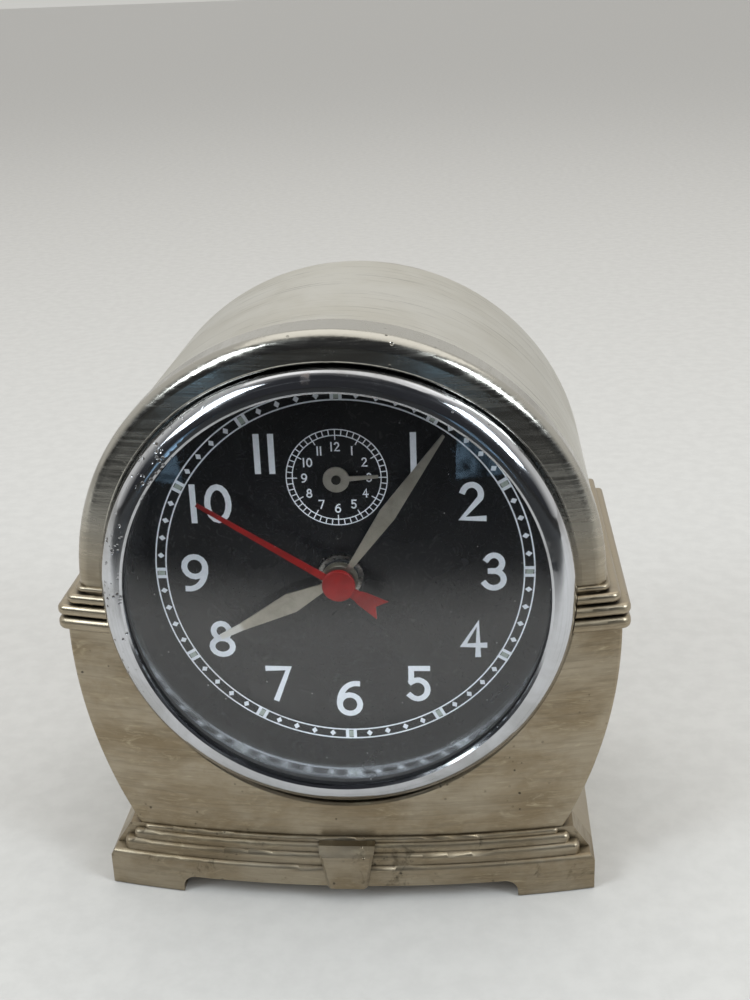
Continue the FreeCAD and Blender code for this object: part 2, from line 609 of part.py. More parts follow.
def motion_wheel():
    """Motion wheel on the time-setting shaft, which runs back to its knob."""
    wheel_module = gear_module(MOTION_DISTANCE, CANNON_TEETH, MOTION_TEETH)
    wheel = gear(MOTION_TEETH, wheel_module, *CANNON_GEAR_Y, MOTION_X, MOTION_Z,
                 gap_bearing(MOTION_BEARING + 180, MOTION_TEETH))
    pinion = gear(MOTION_PINION_TEETH, HOUR_MODULE, HOUR_GEAR_Y[0] - 0.1, CANNON_GEAR_Y[0],
                  MOTION_X, MOTION_Z, MOTION_BEARING + 180)
    shaft = rod(KNOB_SHAFT_R, FRONT_WALL_BACK_Y, HOUSING_REAR_Y + 3, MOTION_X, MOTION_Z)
    pivot = rod(PIVOT_R, FRONT_WALL_BACK_Y - PIVOT_DEPTH, FRONT_WALL_BACK_Y, MOTION_X, MOTION_Z)
    return single(fuse_all([wheel, pinion, shaft, pivot]))


def alarm_trip_wheel():
    """Turns once in twelve hours, freely on the alarm arbor, and lifts the alarm contact."""
    step = 360.0 / HOUR_TEETH
    offset = (gap_bearing(MOTION_BEARING, HOUR_TEETH) - 90 + step / 2) % step - step / 2
    bearing = gap_bearing(270, HOUR_TEETH) - offset
    wheel = gear(HOUR_TEETH, HOUR_MODULE, *HOUR_GEAR_Y, 0, ALARM_Z, bearing)
    cam = rod(4.0, HOUR_GEAR_Y[1], HOUR_GEAR_Y[1] + 0.8, 0, ALARM_Z)
    notch = box(2.8, 5, HOUR_GEAR_Y[1], HOUR_GEAR_Y[1] + 1, ALARM_Z - 0.8, ALARM_Z + 0.8)
    bore = rod(ALARM_ARBOR_R + RUN, HOUR_GEAR_Y[0] - 1, HOUR_GEAR_Y[1] + 2, 0, ALARM_Z)
    return single(wheel.fuse(cam.cut(notch)).cut(bore))


def centre_wheel():
    module = gear_module(THIRD_DISTANCE, THIRD_PINION_TEETH, CENTRE_TEETH)
    wheel = gear(CENTRE_TEETH, module, *CENTRE_GEAR_Y, 0, AXIS_Z, gap_bearing(THIRD_BEARING, CENTRE_TEETH))
    return single(wheel.cut(rod(MINUTE_PIPE_R + RUN, CENTRE_GEAR_Y[0] - 1, CENTRE_GEAR_Y[1] + 1)))


def third_wheel():
    wheel_module = gear_module(THIRD_DISTANCE, SECOND_PINION_TEETH, THIRD_TEETH)
    pinion_module = gear_module(THIRD_DISTANCE, THIRD_PINION_TEETH, CENTRE_TEETH)
    wheel = gear(THIRD_TEETH, wheel_module, *THIRD_GEAR_Y, THIRD_X, THIRD_Z,
                 gap_bearing(THIRD_BEARING + 180, THIRD_TEETH))
    pinion = gear(THIRD_PINION_TEETH, pinion_module, CENTRE_GEAR_Y[0] - 0.2, THIRD_GEAR_Y[0],
                  THIRD_X, THIRD_Z, THIRD_BEARING + 180)
    arbor = rod(PIVOT_R, FRONT_WALL_BACK_Y - PIVOT_DEPTH, MIDDLE_PLATE_Y + 0.5, THIRD_X, THIRD_Z)
    return single(fuse_all([wheel, pinion, arbor]))


def second_wheel():
    wheel_module = gear_module(INTERMEDIATE_DISTANCE, SECOND_TEETH, INTERMEDIATE_PINION_TEETH)
    pinion_module = gear_module(THIRD_DISTANCE, SECOND_PINION_TEETH, THIRD_TEETH)
    wheel = gear(SECOND_TEETH, wheel_module, *SECOND_GEAR_Y, 0, AXIS_Z, INTERMEDIATE_BEARING)
    pinion = gear(SECOND_PINION_TEETH, pinion_module, THIRD_GEAR_Y[0] - 0.2, THIRD_GEAR_Y[1] + 0.2,
                  0, AXIS_Z, THIRD_BEARING)
    arbor = rod(SECOND_ARBOR_R, SECOND_HAND_Y - 0.2, SECOND_GEAR_Y[1])
    pivot = rod(PIVOT_R, SECOND_GEAR_Y[1], REAR_WALL_FRONT_Y + PIVOT_DEPTH)
    return single(fuse_all([wheel, pinion, arbor, pivot]))


def intermediate_wheel():
    pinion_module = gear_module(INTERMEDIATE_DISTANCE, SECOND_TEETH, INTERMEDIATE_PINION_TEETH)
    wheel_module = gear_module(ROTOR_DISTANCE, INTERMEDIATE_TEETH, ROTOR_PINION_TEETH)
    wheel = gear(INTERMEDIATE_TEETH, wheel_module, *INTERMEDIATE_GEAR_Y, INTERMEDIATE_X, INTERMEDIATE_Z,
                 ROTOR_BEARING)
    pinion = gear(INTERMEDIATE_PINION_TEETH, pinion_module, SECOND_GEAR_Y[0] - 0.1, INTERMEDIATE_GEAR_Y[0],
                  INTERMEDIATE_X, INTERMEDIATE_Z,
                  gap_bearing(INTERMEDIATE_BEARING + 180, INTERMEDIATE_PINION_TEETH))
    arbor = rod(PIVOT_R, MIDDLE_PLATE_Y + 0.3, REAR_WALL_FRONT_Y + PIVOT_DEPTH,
                INTERMEDIATE_X, INTERMEDIATE_Z)
    return single(fuse_all([wheel, pinion, arbor]))


def rotor():
    """Magnet of the stepping motor with its pinion."""
    module = gear_module(ROTOR_DISTANCE, INTERMEDIATE_TEETH, ROTOR_PINION_TEETH)
    pinion = gear(ROTOR_PINION_TEETH, module, INTERMEDIATE_GEAR_Y[0] - 0.2, MAGNET_Y[0], ROTOR_X, ROTOR_Z,
                  gap_bearing(ROTOR_BEARING + 180, ROTOR_PINION_TEETH))
    magnet = rod(3.0, *MAGNET_Y, ROTOR_X, ROTOR_Z)
    arbor = rod(PIVOT_R, MIDDLE_PLATE_Y + 0.3, REAR_WALL_FRONT_Y + PIVOT_DEPTH, ROTOR_X, ROTOR_Z)
    return single(fuse_all([pinion, magnet, arbor]))


# ---- movement body ------------------------------------------------------------------------
def pivot_hole(x, z, wall_y, radius=PIVOT_R, depth=PIVOT_DEPTH + 0.15, towards=-1):
    """Blind hole for a pivot, entered from wall_y."""
    y0, y1 = sorted((wall_y - towards * 0.5, wall_y + towards * depth))
    return rod(radius + RUN, y0, y1, x, z)


def housing_box(y0, y1, inset=0.0):
    half = HOUSING_HALF - inset
    shape = box(-half, half, y0, y1, AXIS_Z - HOUSING_DROP + inset, AXIS_Z + HOUSING_RISE - inset)
    return fillet_edges(shape, HOUSING_CORNER_R - inset, lambda e: e.BoundBox.YLength > 1)


def movement_front_housing():
    """Front half with the threaded bush that passes through the dial."""
    shell = housing_box(HOUSING_FRONT_Y, HOUSING_SPLIT_Y).cut(
        housing_box(FRONT_WALL_BACK_Y, HOUSING_SPLIT_Y + 1, HOUSING_WALL))
    bush = rod(BUSH_R, DIAL_Y - 1.8, HOUSING_FRONT_Y + 0.5)
    posts = [rod(1.6, FRONT_WALL_BACK_Y - 0.2, MIDDLE_PLATE_Y, x, AXIS_Z + z) for x, z in POST_POINTS]
    solid = fuse_all([shell, bush] + posts)
    solid = solid.cut(rod(HOUR_PIPE_R + RUN, DIAL_Y - 3, FRONT_WALL_BACK_Y + 1))
    solid = solid.cut(rod(ALARM_ARBOR_R + RUN, DIAL_Y - 3, FRONT_WALL_BACK_Y + 1, 0, ALARM_Z))
    solid = solid.cut(pivot_hole(MOTION_X, MOTION_Z, FRONT_WALL_BACK_Y))
    return single(solid.cut(pivot_hole(THIRD_X, THIRD_Z, FRONT_WALL_BACK_Y)))


def middle_plate():
    """Bearing plate between the minute train and the second train."""
    half = HOUSING_HALF - HOUSING_WALL - 0.2
    y0, y1 = MIDDLE_PLATE_Y, MIDDLE_PLATE_Y + MIDDLE_PLATE_THICK
    top = AXIS_Z + HOUSING_RISE - HOUSING_WALL - 0.2
    plate = box(-half, half, y0, y1, AXIS_Z - TRAY_TOP_DROP + 0.2, top)
    plate = fillet_edges(plate, 2.0, lambda e: e.BoundBox.XLength + e.BoundBox.ZLength < 0.01)
    holes = (
        (2.3, 0, AXIS_Z),
        (ALARM_ARBOR_R + 0.3, 0, ALARM_Z),
        (KNOB_SHAFT_R + 0.3, MOTION_X, MOTION_Z),
        (PIVOT_R + RUN, THIRD_X, THIRD_Z),
    )
    for radius, x, z in holes:
        plate = plate.cut(rod(radius, y0 - 1, y1 + 1, x, z))
    for x, z in ((INTERMEDIATE_X, INTERMEDIATE_Z), (ROTOR_X, ROTOR_Z)):
        plate = plate.cut(rod(PIVOT_R + RUN, y0 + 0.2, y1 + 1, x, z))
    return single(plate)


def movement_rear_housing():
    """Rear half with the battery tray, the knob holes and the switch slot."""
    tray_top = AXIS_Z - TRAY_TOP_DROP
    floor_z = AXIS_Z - HOUSING_DROP + HOUSING_WALL
    inside = HOUSING_HALF - HOUSING_WALL
    shell = housing_box(HOUSING_SPLIT_Y, HOUSING_REAR_Y).cut(
        housing_box(HOUSING_SPLIT_Y - 1, REAR_WALL_FRONT_Y, HOUSING_WALL))
    tray = box(-inside + 0.2, inside - 0.2, TRAY_FRONT_Y, HOUSING_REAR_Y, floor_z + 0.2, tray_top)
    tray = fillet_edges(tray, HOUSING_CORNER_R - HOUSING_WALL, lambda e: e.BoundBox.YLength > 1
                        and e.BoundBox.ZMax < floor_z + 1)
    joint = box(-inside, inside, HOUSING_SPLIT_Y, HOUSING_REAR_Y, floor_z - 0.7, tray_top)
    room = box(-inside + TRAY_WALL, inside - TRAY_WALL, TRAY_FRONT_Y + TRAY_WALL, HOUSING_REAR_Y + 1,
               floor_z + 0.9, tray_top - TRAY_WALL)
    pegs = [rod(1.0, BOARD_Y[1], REAR_WALL_FRONT_Y + 0.2, x, AXIS_Z + z) for x, z in BOARD_PEGS]
    solid = fuse_all([shell, tray, joint] + pegs).cut(room)
    solid = solid.cut(rod(ALARM_ARBOR_R + RUN, REAR_WALL_FRONT_Y - 1, HOUSING_REAR_Y + 1, 0, ALARM_Z))
    solid = solid.cut(rod(KNOB_SHAFT_R + RUN, REAR_WALL_FRONT_Y - 1, HOUSING_REAR_Y + 1, MOTION_X, MOTION_Z))
    for x, z in ((0, AXIS_Z), (INTERMEDIATE_X, INTERMEDIATE_Z), (ROTOR_X, ROTOR_Z)):
        solid = solid.cut(pivot_hole(x, z, REAR_WALL_FRONT_Y, towards=1))
    slot_half = SWITCH_TRAVEL / 2 + 2.4
    slot = box(SWITCH_X - slot_half, SWITCH_X + slot_half, REAR_WALL_FRONT_Y - 1, HOUSING_REAR_Y + 1,
               SWITCH_Z - 1.2, SWITCH_Z + 1.2)
    sound_holes = [rod(0.7, REAR_WALL_FRONT_Y - 1, HOUSING_REAR_Y + 1, BUZZER_X + dx, BUZZER_Z + dz)
                   for dx, dz in [(0, 0)] + [polar(4.0, angle) for angle in range(0, 360, 60)]]
    return single(solid.cut(slot).cut(fuse_all(sound_holes)))


def circuit_board():
    """Board with its quartz can and covered chip."""
    board = box(4.5, 25.8, *BOARD_Y, AXIS_Z + 9.5, AXIS_Z + 26.2)
    can = Part.makeCylinder(1.0, 6.0, Vector(9, BOARD_Y[0] - 0.9, AXIS_Z + 20), Vector(1, 0, 0))
    blob = Part.makeCylinder(2.6, 0.9, Vector(18, BOARD_Y[0] - 0.9, AXIS_Z + 14.5), Vector(0, 1, 0))
    return single(fuse_all([board, can, blob]))


def buzzer():
    disc = rod(BUZZER_R, REAR_WALL_FRONT_Y - 1.6, REAR_WALL_FRONT_Y, BUZZER_X, BUZZER_Z)
    element = rod(6.5, REAR_WALL_FRONT_Y - 2.1, REAR_WALL_FRONT_Y - 1.5, BUZZER_X, BUZZER_Z)
    return single(disc.fuse(element))


def stator():
    """Flat iron plate with the rotor hole and two legs up to the coil core."""
    low, high = ROTOR_Z - 4.6, ROTOR_Z + 4.4
    plate = box(STATOR_LEFT, STATOR_RIGHT, *STATOR_Y, low, high)
    legs = [box(x, x + 3.4, *STATOR_Y, high - 0.5, COIL_Z + 2) for x in (STATOR_LEFT, STATOR_RIGHT - 3.4)]
    core = box(STATOR_LEFT + 1, STATOR_RIGHT - 1, STATOR_Y[0] + 0.2, STATOR_Y[1] - 0.2,
               COIL_Z - 0.8, COIL_Z + 0.8)
    solid = fuse_all([plate, core] + legs)
    return single(solid.cut(rod(3.3, STATOR_Y[0] - 1, STATOR_Y[1] + 1, ROTOR_X, ROTOR_Z)))


def coil():
    """Wound bobbin on the stator core."""
    middle_y = (STATOR_Y[0] + STATOR_Y[1]) / 2
    left, right = STATOR_LEFT + 3.6, STATOR_RIGHT - 3.6
    winding = Part.makeCylinder(2.5, right - left - 1, Vector(left + 0.5, middle_y, COIL_Z), Vector(1, 0, 0))
    cheek_places = [Vector(x, middle_y, COIL_Z) for x in (left, right - 0.6)]
    cheeks = [Part.makeCylinder(3.0, 0.6, place, Vector(1, 0, 0)) for place in cheek_places]
    core_room = box(left - 1, right + 1, STATOR_Y[0] + 0.2, STATOR_Y[1] - 0.2, COIL_Z - 0.8, COIL_Z + 0.8)
    return single(fuse_all([winding] + cheeks).cut(core_room))


def battery():
    """AA cell with its positive stud towards +X."""
    left = -BATTERY_LENGTH / 2
    z = AXIS_Z - BATTERY_DROP
    body = Part.makeCylinder(BATTERY_R, BATTERY_LENGTH - 1.0, Vector(left, BATTERY_Y, z), Vector(1, 0, 0))
    body = fillet_edges(body, 0.5, lambda e: e.Closed)
    stud = Part.makeCylinder(2.7, 1.4, Vector(left + BATTERY_LENGTH - 1.4, BATTERY_Y, z), Vector(1, 0, 0))
    return single(body.fuse(stud))


def battery_contact(side):
    """Flat plate against the tray wall with a pressed bump that touches the cell."""
    wall_x = HOUSING_HALF - HOUSING_WALL - 1.0
    touch = BATTERY_LENGTH / 2
    z = AXIS_Z - BATTERY_DROP
    plate = box(wall_x - 0.3, wall_x, TRAY_FRONT_Y + 2.5, HOUSING_REAR_Y - 2.5, z - 5, z + 5)
    bump = Part.makeCone(3.4, 2.0, wall_x - 0.3 - touch, Vector(wall_x - 0.3, BATTERY_Y, z), Vector(-1, 0, 0))
    tail = box(wall_x - 0.3, wall_x, TRAY_FRONT_Y + 2.5, TRAY_FRONT_Y + 5.5, z + 4, z + 6.8)
    solid = single(fuse_all([plate, bump, tail]))
    return solid if side > 0 else mirrored(solid)


def fluted_knob(radius, y0, y1, flutes, x, z):
    """Round knob with finger flutes and a softened rear edge."""
    knob = rod(radius, y0, y1, x, z)
    knob = fillet_edges(knob, 0.6, lambda e: e.Closed and e.BoundBox.YMin > y1 - 0.1)
    cutters = []
    for index in range(flutes):
        dx, dz = polar(radius + 0.35, 360.0 * index / flutes)
        cutters.append(rod(0.7, y0 - 1, y1 + 1, x + dx, z + dz))
    return knob.cut(fuse_all(cutters))


def setting_knob(radius, flutes, shaft_radius, x, z):
    """Knob with a raised arrow bar, bored for its shaft."""
    y0 = HOUSING_REAR_Y + 0.5
    y1 = y0 + 4.5
    bar = box(x - 0.6 * radius, x + 0.6 * radius, y1 - 0.1, y1 + 0.7, z - 0.7, z + 0.7)
    solid = fluted_knob(radius, y0, y1, flutes, x, z).fuse(bar)
    return single(solid.cut(rod(shaft_radius, y0 - 1, HOUSING_REAR_Y + 3, x, z)))


def time_set_knob():
    return setting_knob(6.5, 24, KNOB_SHAFT_R, MOTION_X, MOTION_Z)


def alarm_set_knob():
    return setting_knob(4.6, 18, ALARM_ARBOR_R, 0, ALARM_Z)


def alarm_arbor():
    arbor = rod(ALARM_ARBOR_R, ALARM_HAND_Y - 0.3, HOUSING_REAR_Y + 3, 0, ALARM_Z)
    collar = rod(2.0, HOUR_GEAR_Y[1] + 1.1, HOUR_GEAR_Y[1] + 2.2, 0, ALARM_Z)
    return single(arbor.fuse(collar))


def alarm_switch():
    """Slide switch: nub outside the slot and a wider foot behind it."""
    x = SWITCH_X - SWITCH_TRAVEL / 2
    nub = box(x - 2.1, x + 2.1, REAR_WALL_FRONT_Y - 0.2, HOUSING_REAR_Y + 1.6, SWITCH_Z - 1.1, SWITCH_Z + 1.1)
    for ridge in (-1.2, 0.0, 1.2):
        nub = nub.cut(box(x + ridge - 0.25, x + ridge + 0.25, HOUSING_REAR_Y + 1.2, HOUSING_REAR_Y + 2,
                          SWITCH_Z - 2, SWITCH_Z + 2))
    foot = box(x - 2.1, x + 2.1, REAR_WALL_FRONT_Y - 1.1, REAR_WALL_FRONT_Y - 0.1,
               SWITCH_Z - 2.2, SWITCH_Z + 2.2)
    return single(nub.fuse(foot))


# ---- hands --------------------------------------------------------------------------------
def flat_hand(half_outline, hub_radius, bore_radius, y, angle, x=0.0, z=AXIS_Z):
    """Flat symmetric hand from (distance, half width) points, with a round hub."""
    right = [(x + half, z + distance) for distance, half in half_outline]
    left = [(x - half, z + distance) for distance, half in reversed(half_outline)]
    blade = plate_xz(right + left, y, y + HAND_THICK)
    hub = rod(hub_radius, y, y + HAND_THICK, x, z)
    solid = blade.fuse(hub)
    if bore_radius:
        solid = solid.cut(rod(bore_radius, y - 1, y + 2, x, z))
    return turn_clockwise(single(solid), angle, x, z)


def hour_hand():
    outline = [(0.0, 0.6), (4.2, 0.9), (12.2, 2.35), (25.0, 0.85), (30.2, 0.6)]
    return flat_hand(outline, 3.95, HOUR_PIPE_R, HOUR_HAND_Y, HOUR_ANGLE)


def minute_hand():
    outline = [(0.0, 0.5), (4.2, 0.6), (18.8, 1.8), (34.0, 0.75), (39.8, 0.35)]
    return flat_hand(outline, 3.6, MINUTE_PIPE_R, MINUTE_HAND_Y, MINUTE_ANGLE)


def second_hand():
    """Red hand: needle, round boss cap and an arrow-flight tail."""
    needle = [(0.0, 0.85), (34.6, 0.4)]
    blade = flat_hand(needle, 3.55, 0, SECOND_HAND_Y, 0)
    tail = [
        (1.1, -2.0), (1.2, -4.6), (1.6, -5.6), (2.4, -10.9), (0.0, -9.2),
        (-2.4, -10.9), (-1.6, -5.6), (-1.2, -4.6), (-1.1, -2.0),
    ]
    flight = plate_xz([(x, AXIS_Z + z) for x, z in tail], SECOND_HAND_Y, SECOND_HAND_Y + HAND_THICK)
    cap = rod(3.55, SECOND_HAND_Y - 0.55, SECOND_HAND_Y + HAND_THICK)
    cap = fillet_edges(cap, 0.3, lambda e: e.Closed and e.BoundBox.YMax < SECOND_HAND_Y)
    socket = rod(SECOND_ARBOR_R, SECOND_HAND_Y - 0.2, SECOND_HAND_Y + 1)
    return turn_clockwise(single(fuse_all([blade, flight, cap]).cut(socket)), SECOND_ANGLE)


def alarm_hand():
    outline = [(0.0, 0.5), (2.6, 0.55), (8.9, 0.3)]
    return flat_hand(outline, 2.8, ALARM_ARBOR_R, ALARM_HAND_Y, ALARM_ANGLE, 0, ALARM_Z)


def minute_collet():
    """Polished ring that clips the minute hand onto its pipe."""
    return tube(MINUTE_PIPE_R, 3.3, MINUTE_HAND_Y + HAND_THICK, MINUTE_HAND_Y + HAND_THICK + 0.6)


def hour_collet():
    return tube(HOUR_PIPE_R, 3.9, HOUR_HAND_Y + HAND_THICK, HOUR_HAND_Y + HAND_THICK + 0.5)


# ---- back cover ---------------------------------------------------------------------------
def well_block(y0, y1, wall):
    """Block with rounded corners round the movement, as wide as the well and its walls."""
    half = HOUSING_HALF + WELL_MARGIN + wall
    low = AXIS_Z - HOUSING_DROP - WELL_MARGIN - wall
    high = AXIS_Z + HOUSING_RISE + WELL_MARGIN + wall
    block = box(-half, half, y0, y1, low, high)
    return fillet_edges(block, WELL_CORNER_R + wall, lambda e: e.BoundBox.YLength > 1)


def back_cover():
    """Recessed disc with a square well that leads to the movement's controls."""
    disc = rod(COVER_R, COVER_Y, COVER_Y + COVER_THICK)
    disc = fillet_edges(disc, 0.6, lambda e: e.Closed and e.BoundBox.YMin > COVER_Y + 1)
    well_front = HOUSING_REAR_Y - 6
    solid = disc.fuse(well_block(well_front, COVER_Y + 0.5, WELL_WALL))
    solid = solid.cut(well_block(well_front - 1, REAR_Y, 0))
    for x, z in screw_points(COVER_SCREW_RADIUS, COVER_SCREW_ANGLES):
        solid = solid.cut(rod(1.7, COVER_Y - 1, REAR_Y, x, AXIS_Z + z))
    for index in range(VENT_COUNT):
        step = index - (VENT_COUNT - 1) / 2
        x = VENT_PITCH * step
        top = AXIS_Z + VENT_TOP_RISE - 0.25 * abs(step)
        solid = solid.cut(box(x - 0.8, x + 0.8, COVER_Y - 1, REAR_Y, top - VENT_LENGTH, top))
    return single(solid)


def cover_screws():
    points = screw_points(COVER_SCREW_RADIUS, COVER_SCREW_ANGLES)
    return [pan_screw(2.9, 1.6, 1.5, 8.0, COVER_Y + COVER_THICK, x, AXIS_Z + z) for x, z in points]


NODES = {
    "front_casting": front_casting,
    "case_shell": case_shell,
    "foot_pads": foot_pads,
    "bezel": bezel,
    "lens": lens,
    "lens_gasket": lens_gasket,
    "reflector_ring": reflector_ring,
    "dial": dial,
    "dial_screws": dial_screws,
    "movement_washer": movement_washer,
    "fixing_nut": fixing_nut,
    "movement_front_housing": movement_front_housing,
    "middle_plate": middle_plate,
    "movement_rear_housing": movement_rear_housing,
    "circuit_board": circuit_board,
    "buzzer": buzzer,
    "stator": stator,
    "coil": coil,
    "battery": battery,
    "contact_positive": lambda: battery_contact(1),
    "contact_negative": lambda: battery_contact(-1),
    "hour_wheel": hour_wheel,
    "minute_pipe": minute_pipe,
    "motion_wheel": motion_wheel,
    "alarm_trip_wheel": alarm_trip_wheel,
    "centre_wheel": centre_wheel,
    "third_wheel": third_wheel,
    "second_wheel": second_wheel,
    "intermediate_wheel": intermediate_wheel,
    "rotor": rotor,
    "hour_hand": hour_hand,
    "hour_collet": hour_collet,
    "minute_hand": minute_hand,
    "minute_collet": minute_collet,
    "second_hand": second_hand,
    "alarm_arbor": alarm_arbor,
    "alarm_hand": alarm_hand,
    "alarm_set_knob": alarm_set_knob,
    "time_set_knob": time_set_knob,
    "alarm_switch": alarm_switch,
    "back_cover": back_cover,
    "cover_screws": cover_screws,
}

os.makedirs("parts", exist_ok=True)
for name, make in NODES.items():
    made = make()
    shape = Part.makeCompound(made) if isinstance(made, list) else made
    shape.exportStep(os.path.join("parts", name + ".step"))
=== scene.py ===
"""Looks of the mantel alarm clock: worn nickel case, chrome bezel and a glazed black dial.

Metres, in the frame of the CAD model: +Z is up and the dial faces -Y.
"""
import math

import bmesh
import bpy
from mathutils import Matrix, Vector


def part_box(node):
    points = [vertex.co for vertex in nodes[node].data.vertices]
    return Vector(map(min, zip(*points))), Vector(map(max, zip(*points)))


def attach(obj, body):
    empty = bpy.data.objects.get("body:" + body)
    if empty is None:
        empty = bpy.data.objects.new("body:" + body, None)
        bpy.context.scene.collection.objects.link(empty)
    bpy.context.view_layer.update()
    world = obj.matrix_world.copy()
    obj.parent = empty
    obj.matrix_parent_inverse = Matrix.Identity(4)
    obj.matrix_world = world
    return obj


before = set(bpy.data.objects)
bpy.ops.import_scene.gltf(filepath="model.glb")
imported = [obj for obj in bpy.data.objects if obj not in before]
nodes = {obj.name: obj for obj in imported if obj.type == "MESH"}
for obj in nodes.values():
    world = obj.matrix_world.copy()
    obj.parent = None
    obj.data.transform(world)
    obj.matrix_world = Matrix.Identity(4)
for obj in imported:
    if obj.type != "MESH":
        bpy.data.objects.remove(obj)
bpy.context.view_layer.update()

MM = 0.001


def centre(node):
    low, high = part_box(node)
    return (low + high) / 2


# ---- places read from the frame -----------------------------------------------------------
AXIS_Z = centre("bezel").z                      # height of the hand axis
BEZEL_R = (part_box("bezel")[1].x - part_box("bezel")[0].x) / 2
DIAL_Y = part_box("dial")[0].y                    # front face of the dial
ALARM_Z = centre("alarm_arbor").z               # height of the alarm hand's axis
DRUM_TOP_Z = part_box("case_shell")[1].z
DRUM_R = DRUM_TOP_Z - AXIS_Z
CASE_BOTTOM_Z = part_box("front_casting")[0].z

# ---- printing on the dial -----------------------------------------------------------------
INK = 0.03 * MM                                 # thickness of the printed ink
INK_STEP = 0.0005 * MM                          # each overlapping stroke lies this much higher
WHITE_INK = 0                                   # material slots of the print
LUME_INK = 1
TRACK_OUTER_R = 41.1 * MM
TRACK_INNER_R = 38.9 * MM
TRACK_LINE = 0.32 * MM
DIAMOND_HALF_HEIGHT = 0.8 * MM
DIAMOND_HALF_WIDTH = 0.66 * MM
HOUR_BAR_SHIFT = 0.88 * MM
HOUR_BAR_HALF_WIDTH = 0.36 * MM
LUME_HALF_WIDTH = 0.5 * MM
PRINT_MIDDLE = (0.6 * MM, AXIS_Z + 0.4 * MM)    # the print sits a little off the hand axis
RING_STEPS = 240                                # straight pieces in each ring of the minute track
NUMERAL_RADIUS = 31.0 * MM
NUMERAL_SPREAD = 1.6 * MM                       # the numerals at three and nine stand this much wider
NUMERAL_HEIGHT = 8.9 * MM
NUMERAL_WIDTH = 5.9 * MM
NUMERAL_STROKE = 1.3 * MM
FIGURE_GAP = 0.3                                # space between two figures, as a share of one's width
MITRE_LIMIT = 1.35                              # how far a sharp corner may reach beyond the stroke
ALARM_RING_OUTER_R = 10.7 * MM
ALARM_RING_INNER_R = 9.4 * MM
ALARM_LINE = 0.22 * MM
ALARM_NUMERAL_RADIUS = 6.9 * MM
ALARM_NUMERAL_HEIGHT = 2.05 * MM
ALARM_NUMERAL_WIDTH = 1.3 * MM
ALARM_NUMERAL_STROKE = 0.3 * MM
ALARM_RING_STEPS = 120
ALARM_DIVISIONS = 48
ALARM_DIVISIONS_PER_HOUR = ALARM_DIVISIONS // 12
ALARM_HOUR_TICK = 1.0 * MM                      # the lines at the hours reach this much further in

# ---- camera -------------------------------------------------------------------------------
CAMERA_PLACE = Vector((29.7, -287.3, 191.95)) * MM
CAMERA_YAW = math.radians(-4.70)                # to the right of +Y
CAMERA_DIP = math.radians(20.88)
CAMERA_ROLL = math.radians(-2.14)
CAMERA_LENS = 48.29
SENSOR_SIZE = 36.0

# ---- studio -------------------------------------------------------------------------------
FLOOR_REACH = 40.0
DARK_FROM_Y = -0.15                             # the dark sheet that paints a dark reflection in front starts here
DARK_FADE = 0.10                                # and is fully dark after this
DARK_LIFT = 2 * MM                              # its height above the floor
GLINT_PLACES = (("glint_left", -0.205, -0.43), ("glint_right", 0.094, -0.47))
GLINT_BOTTOM = 0.003
GLINT_WIDTH = 0.045
GLINT_HEIGHT = 0.12
GLINT_COLOUR = (0.45, 0.72, 1.0)
GLINT_STRENGTH = 1.2
LAMP_DIFFUSE = 0.06                             # lamps mostly make highlights, the world lights the rest
SKY_LIGHT = (0.92, 0.915, 0.895)
WALL_COLOUR = (0.585, 0.58, 0.555)              # what the camera sees behind the floor
ROOM_DARK = (0.035, 0.036, 0.04)                # what reflections see in front of the clock
ROOM_PALE = (0.68, 0.675, 0.65)                 # and behind it
ROOM_DARK_TO_Y = -0.45                          # along the direction's Y, from dark
ROOM_PALE_FROM_Y = 0.15                         # to pale


# ---- node helpers -------------------------------------------------------------------------
def colour_sockets(sockets):
    return [socket for socket in sockets if socket.type == "RGBA"]


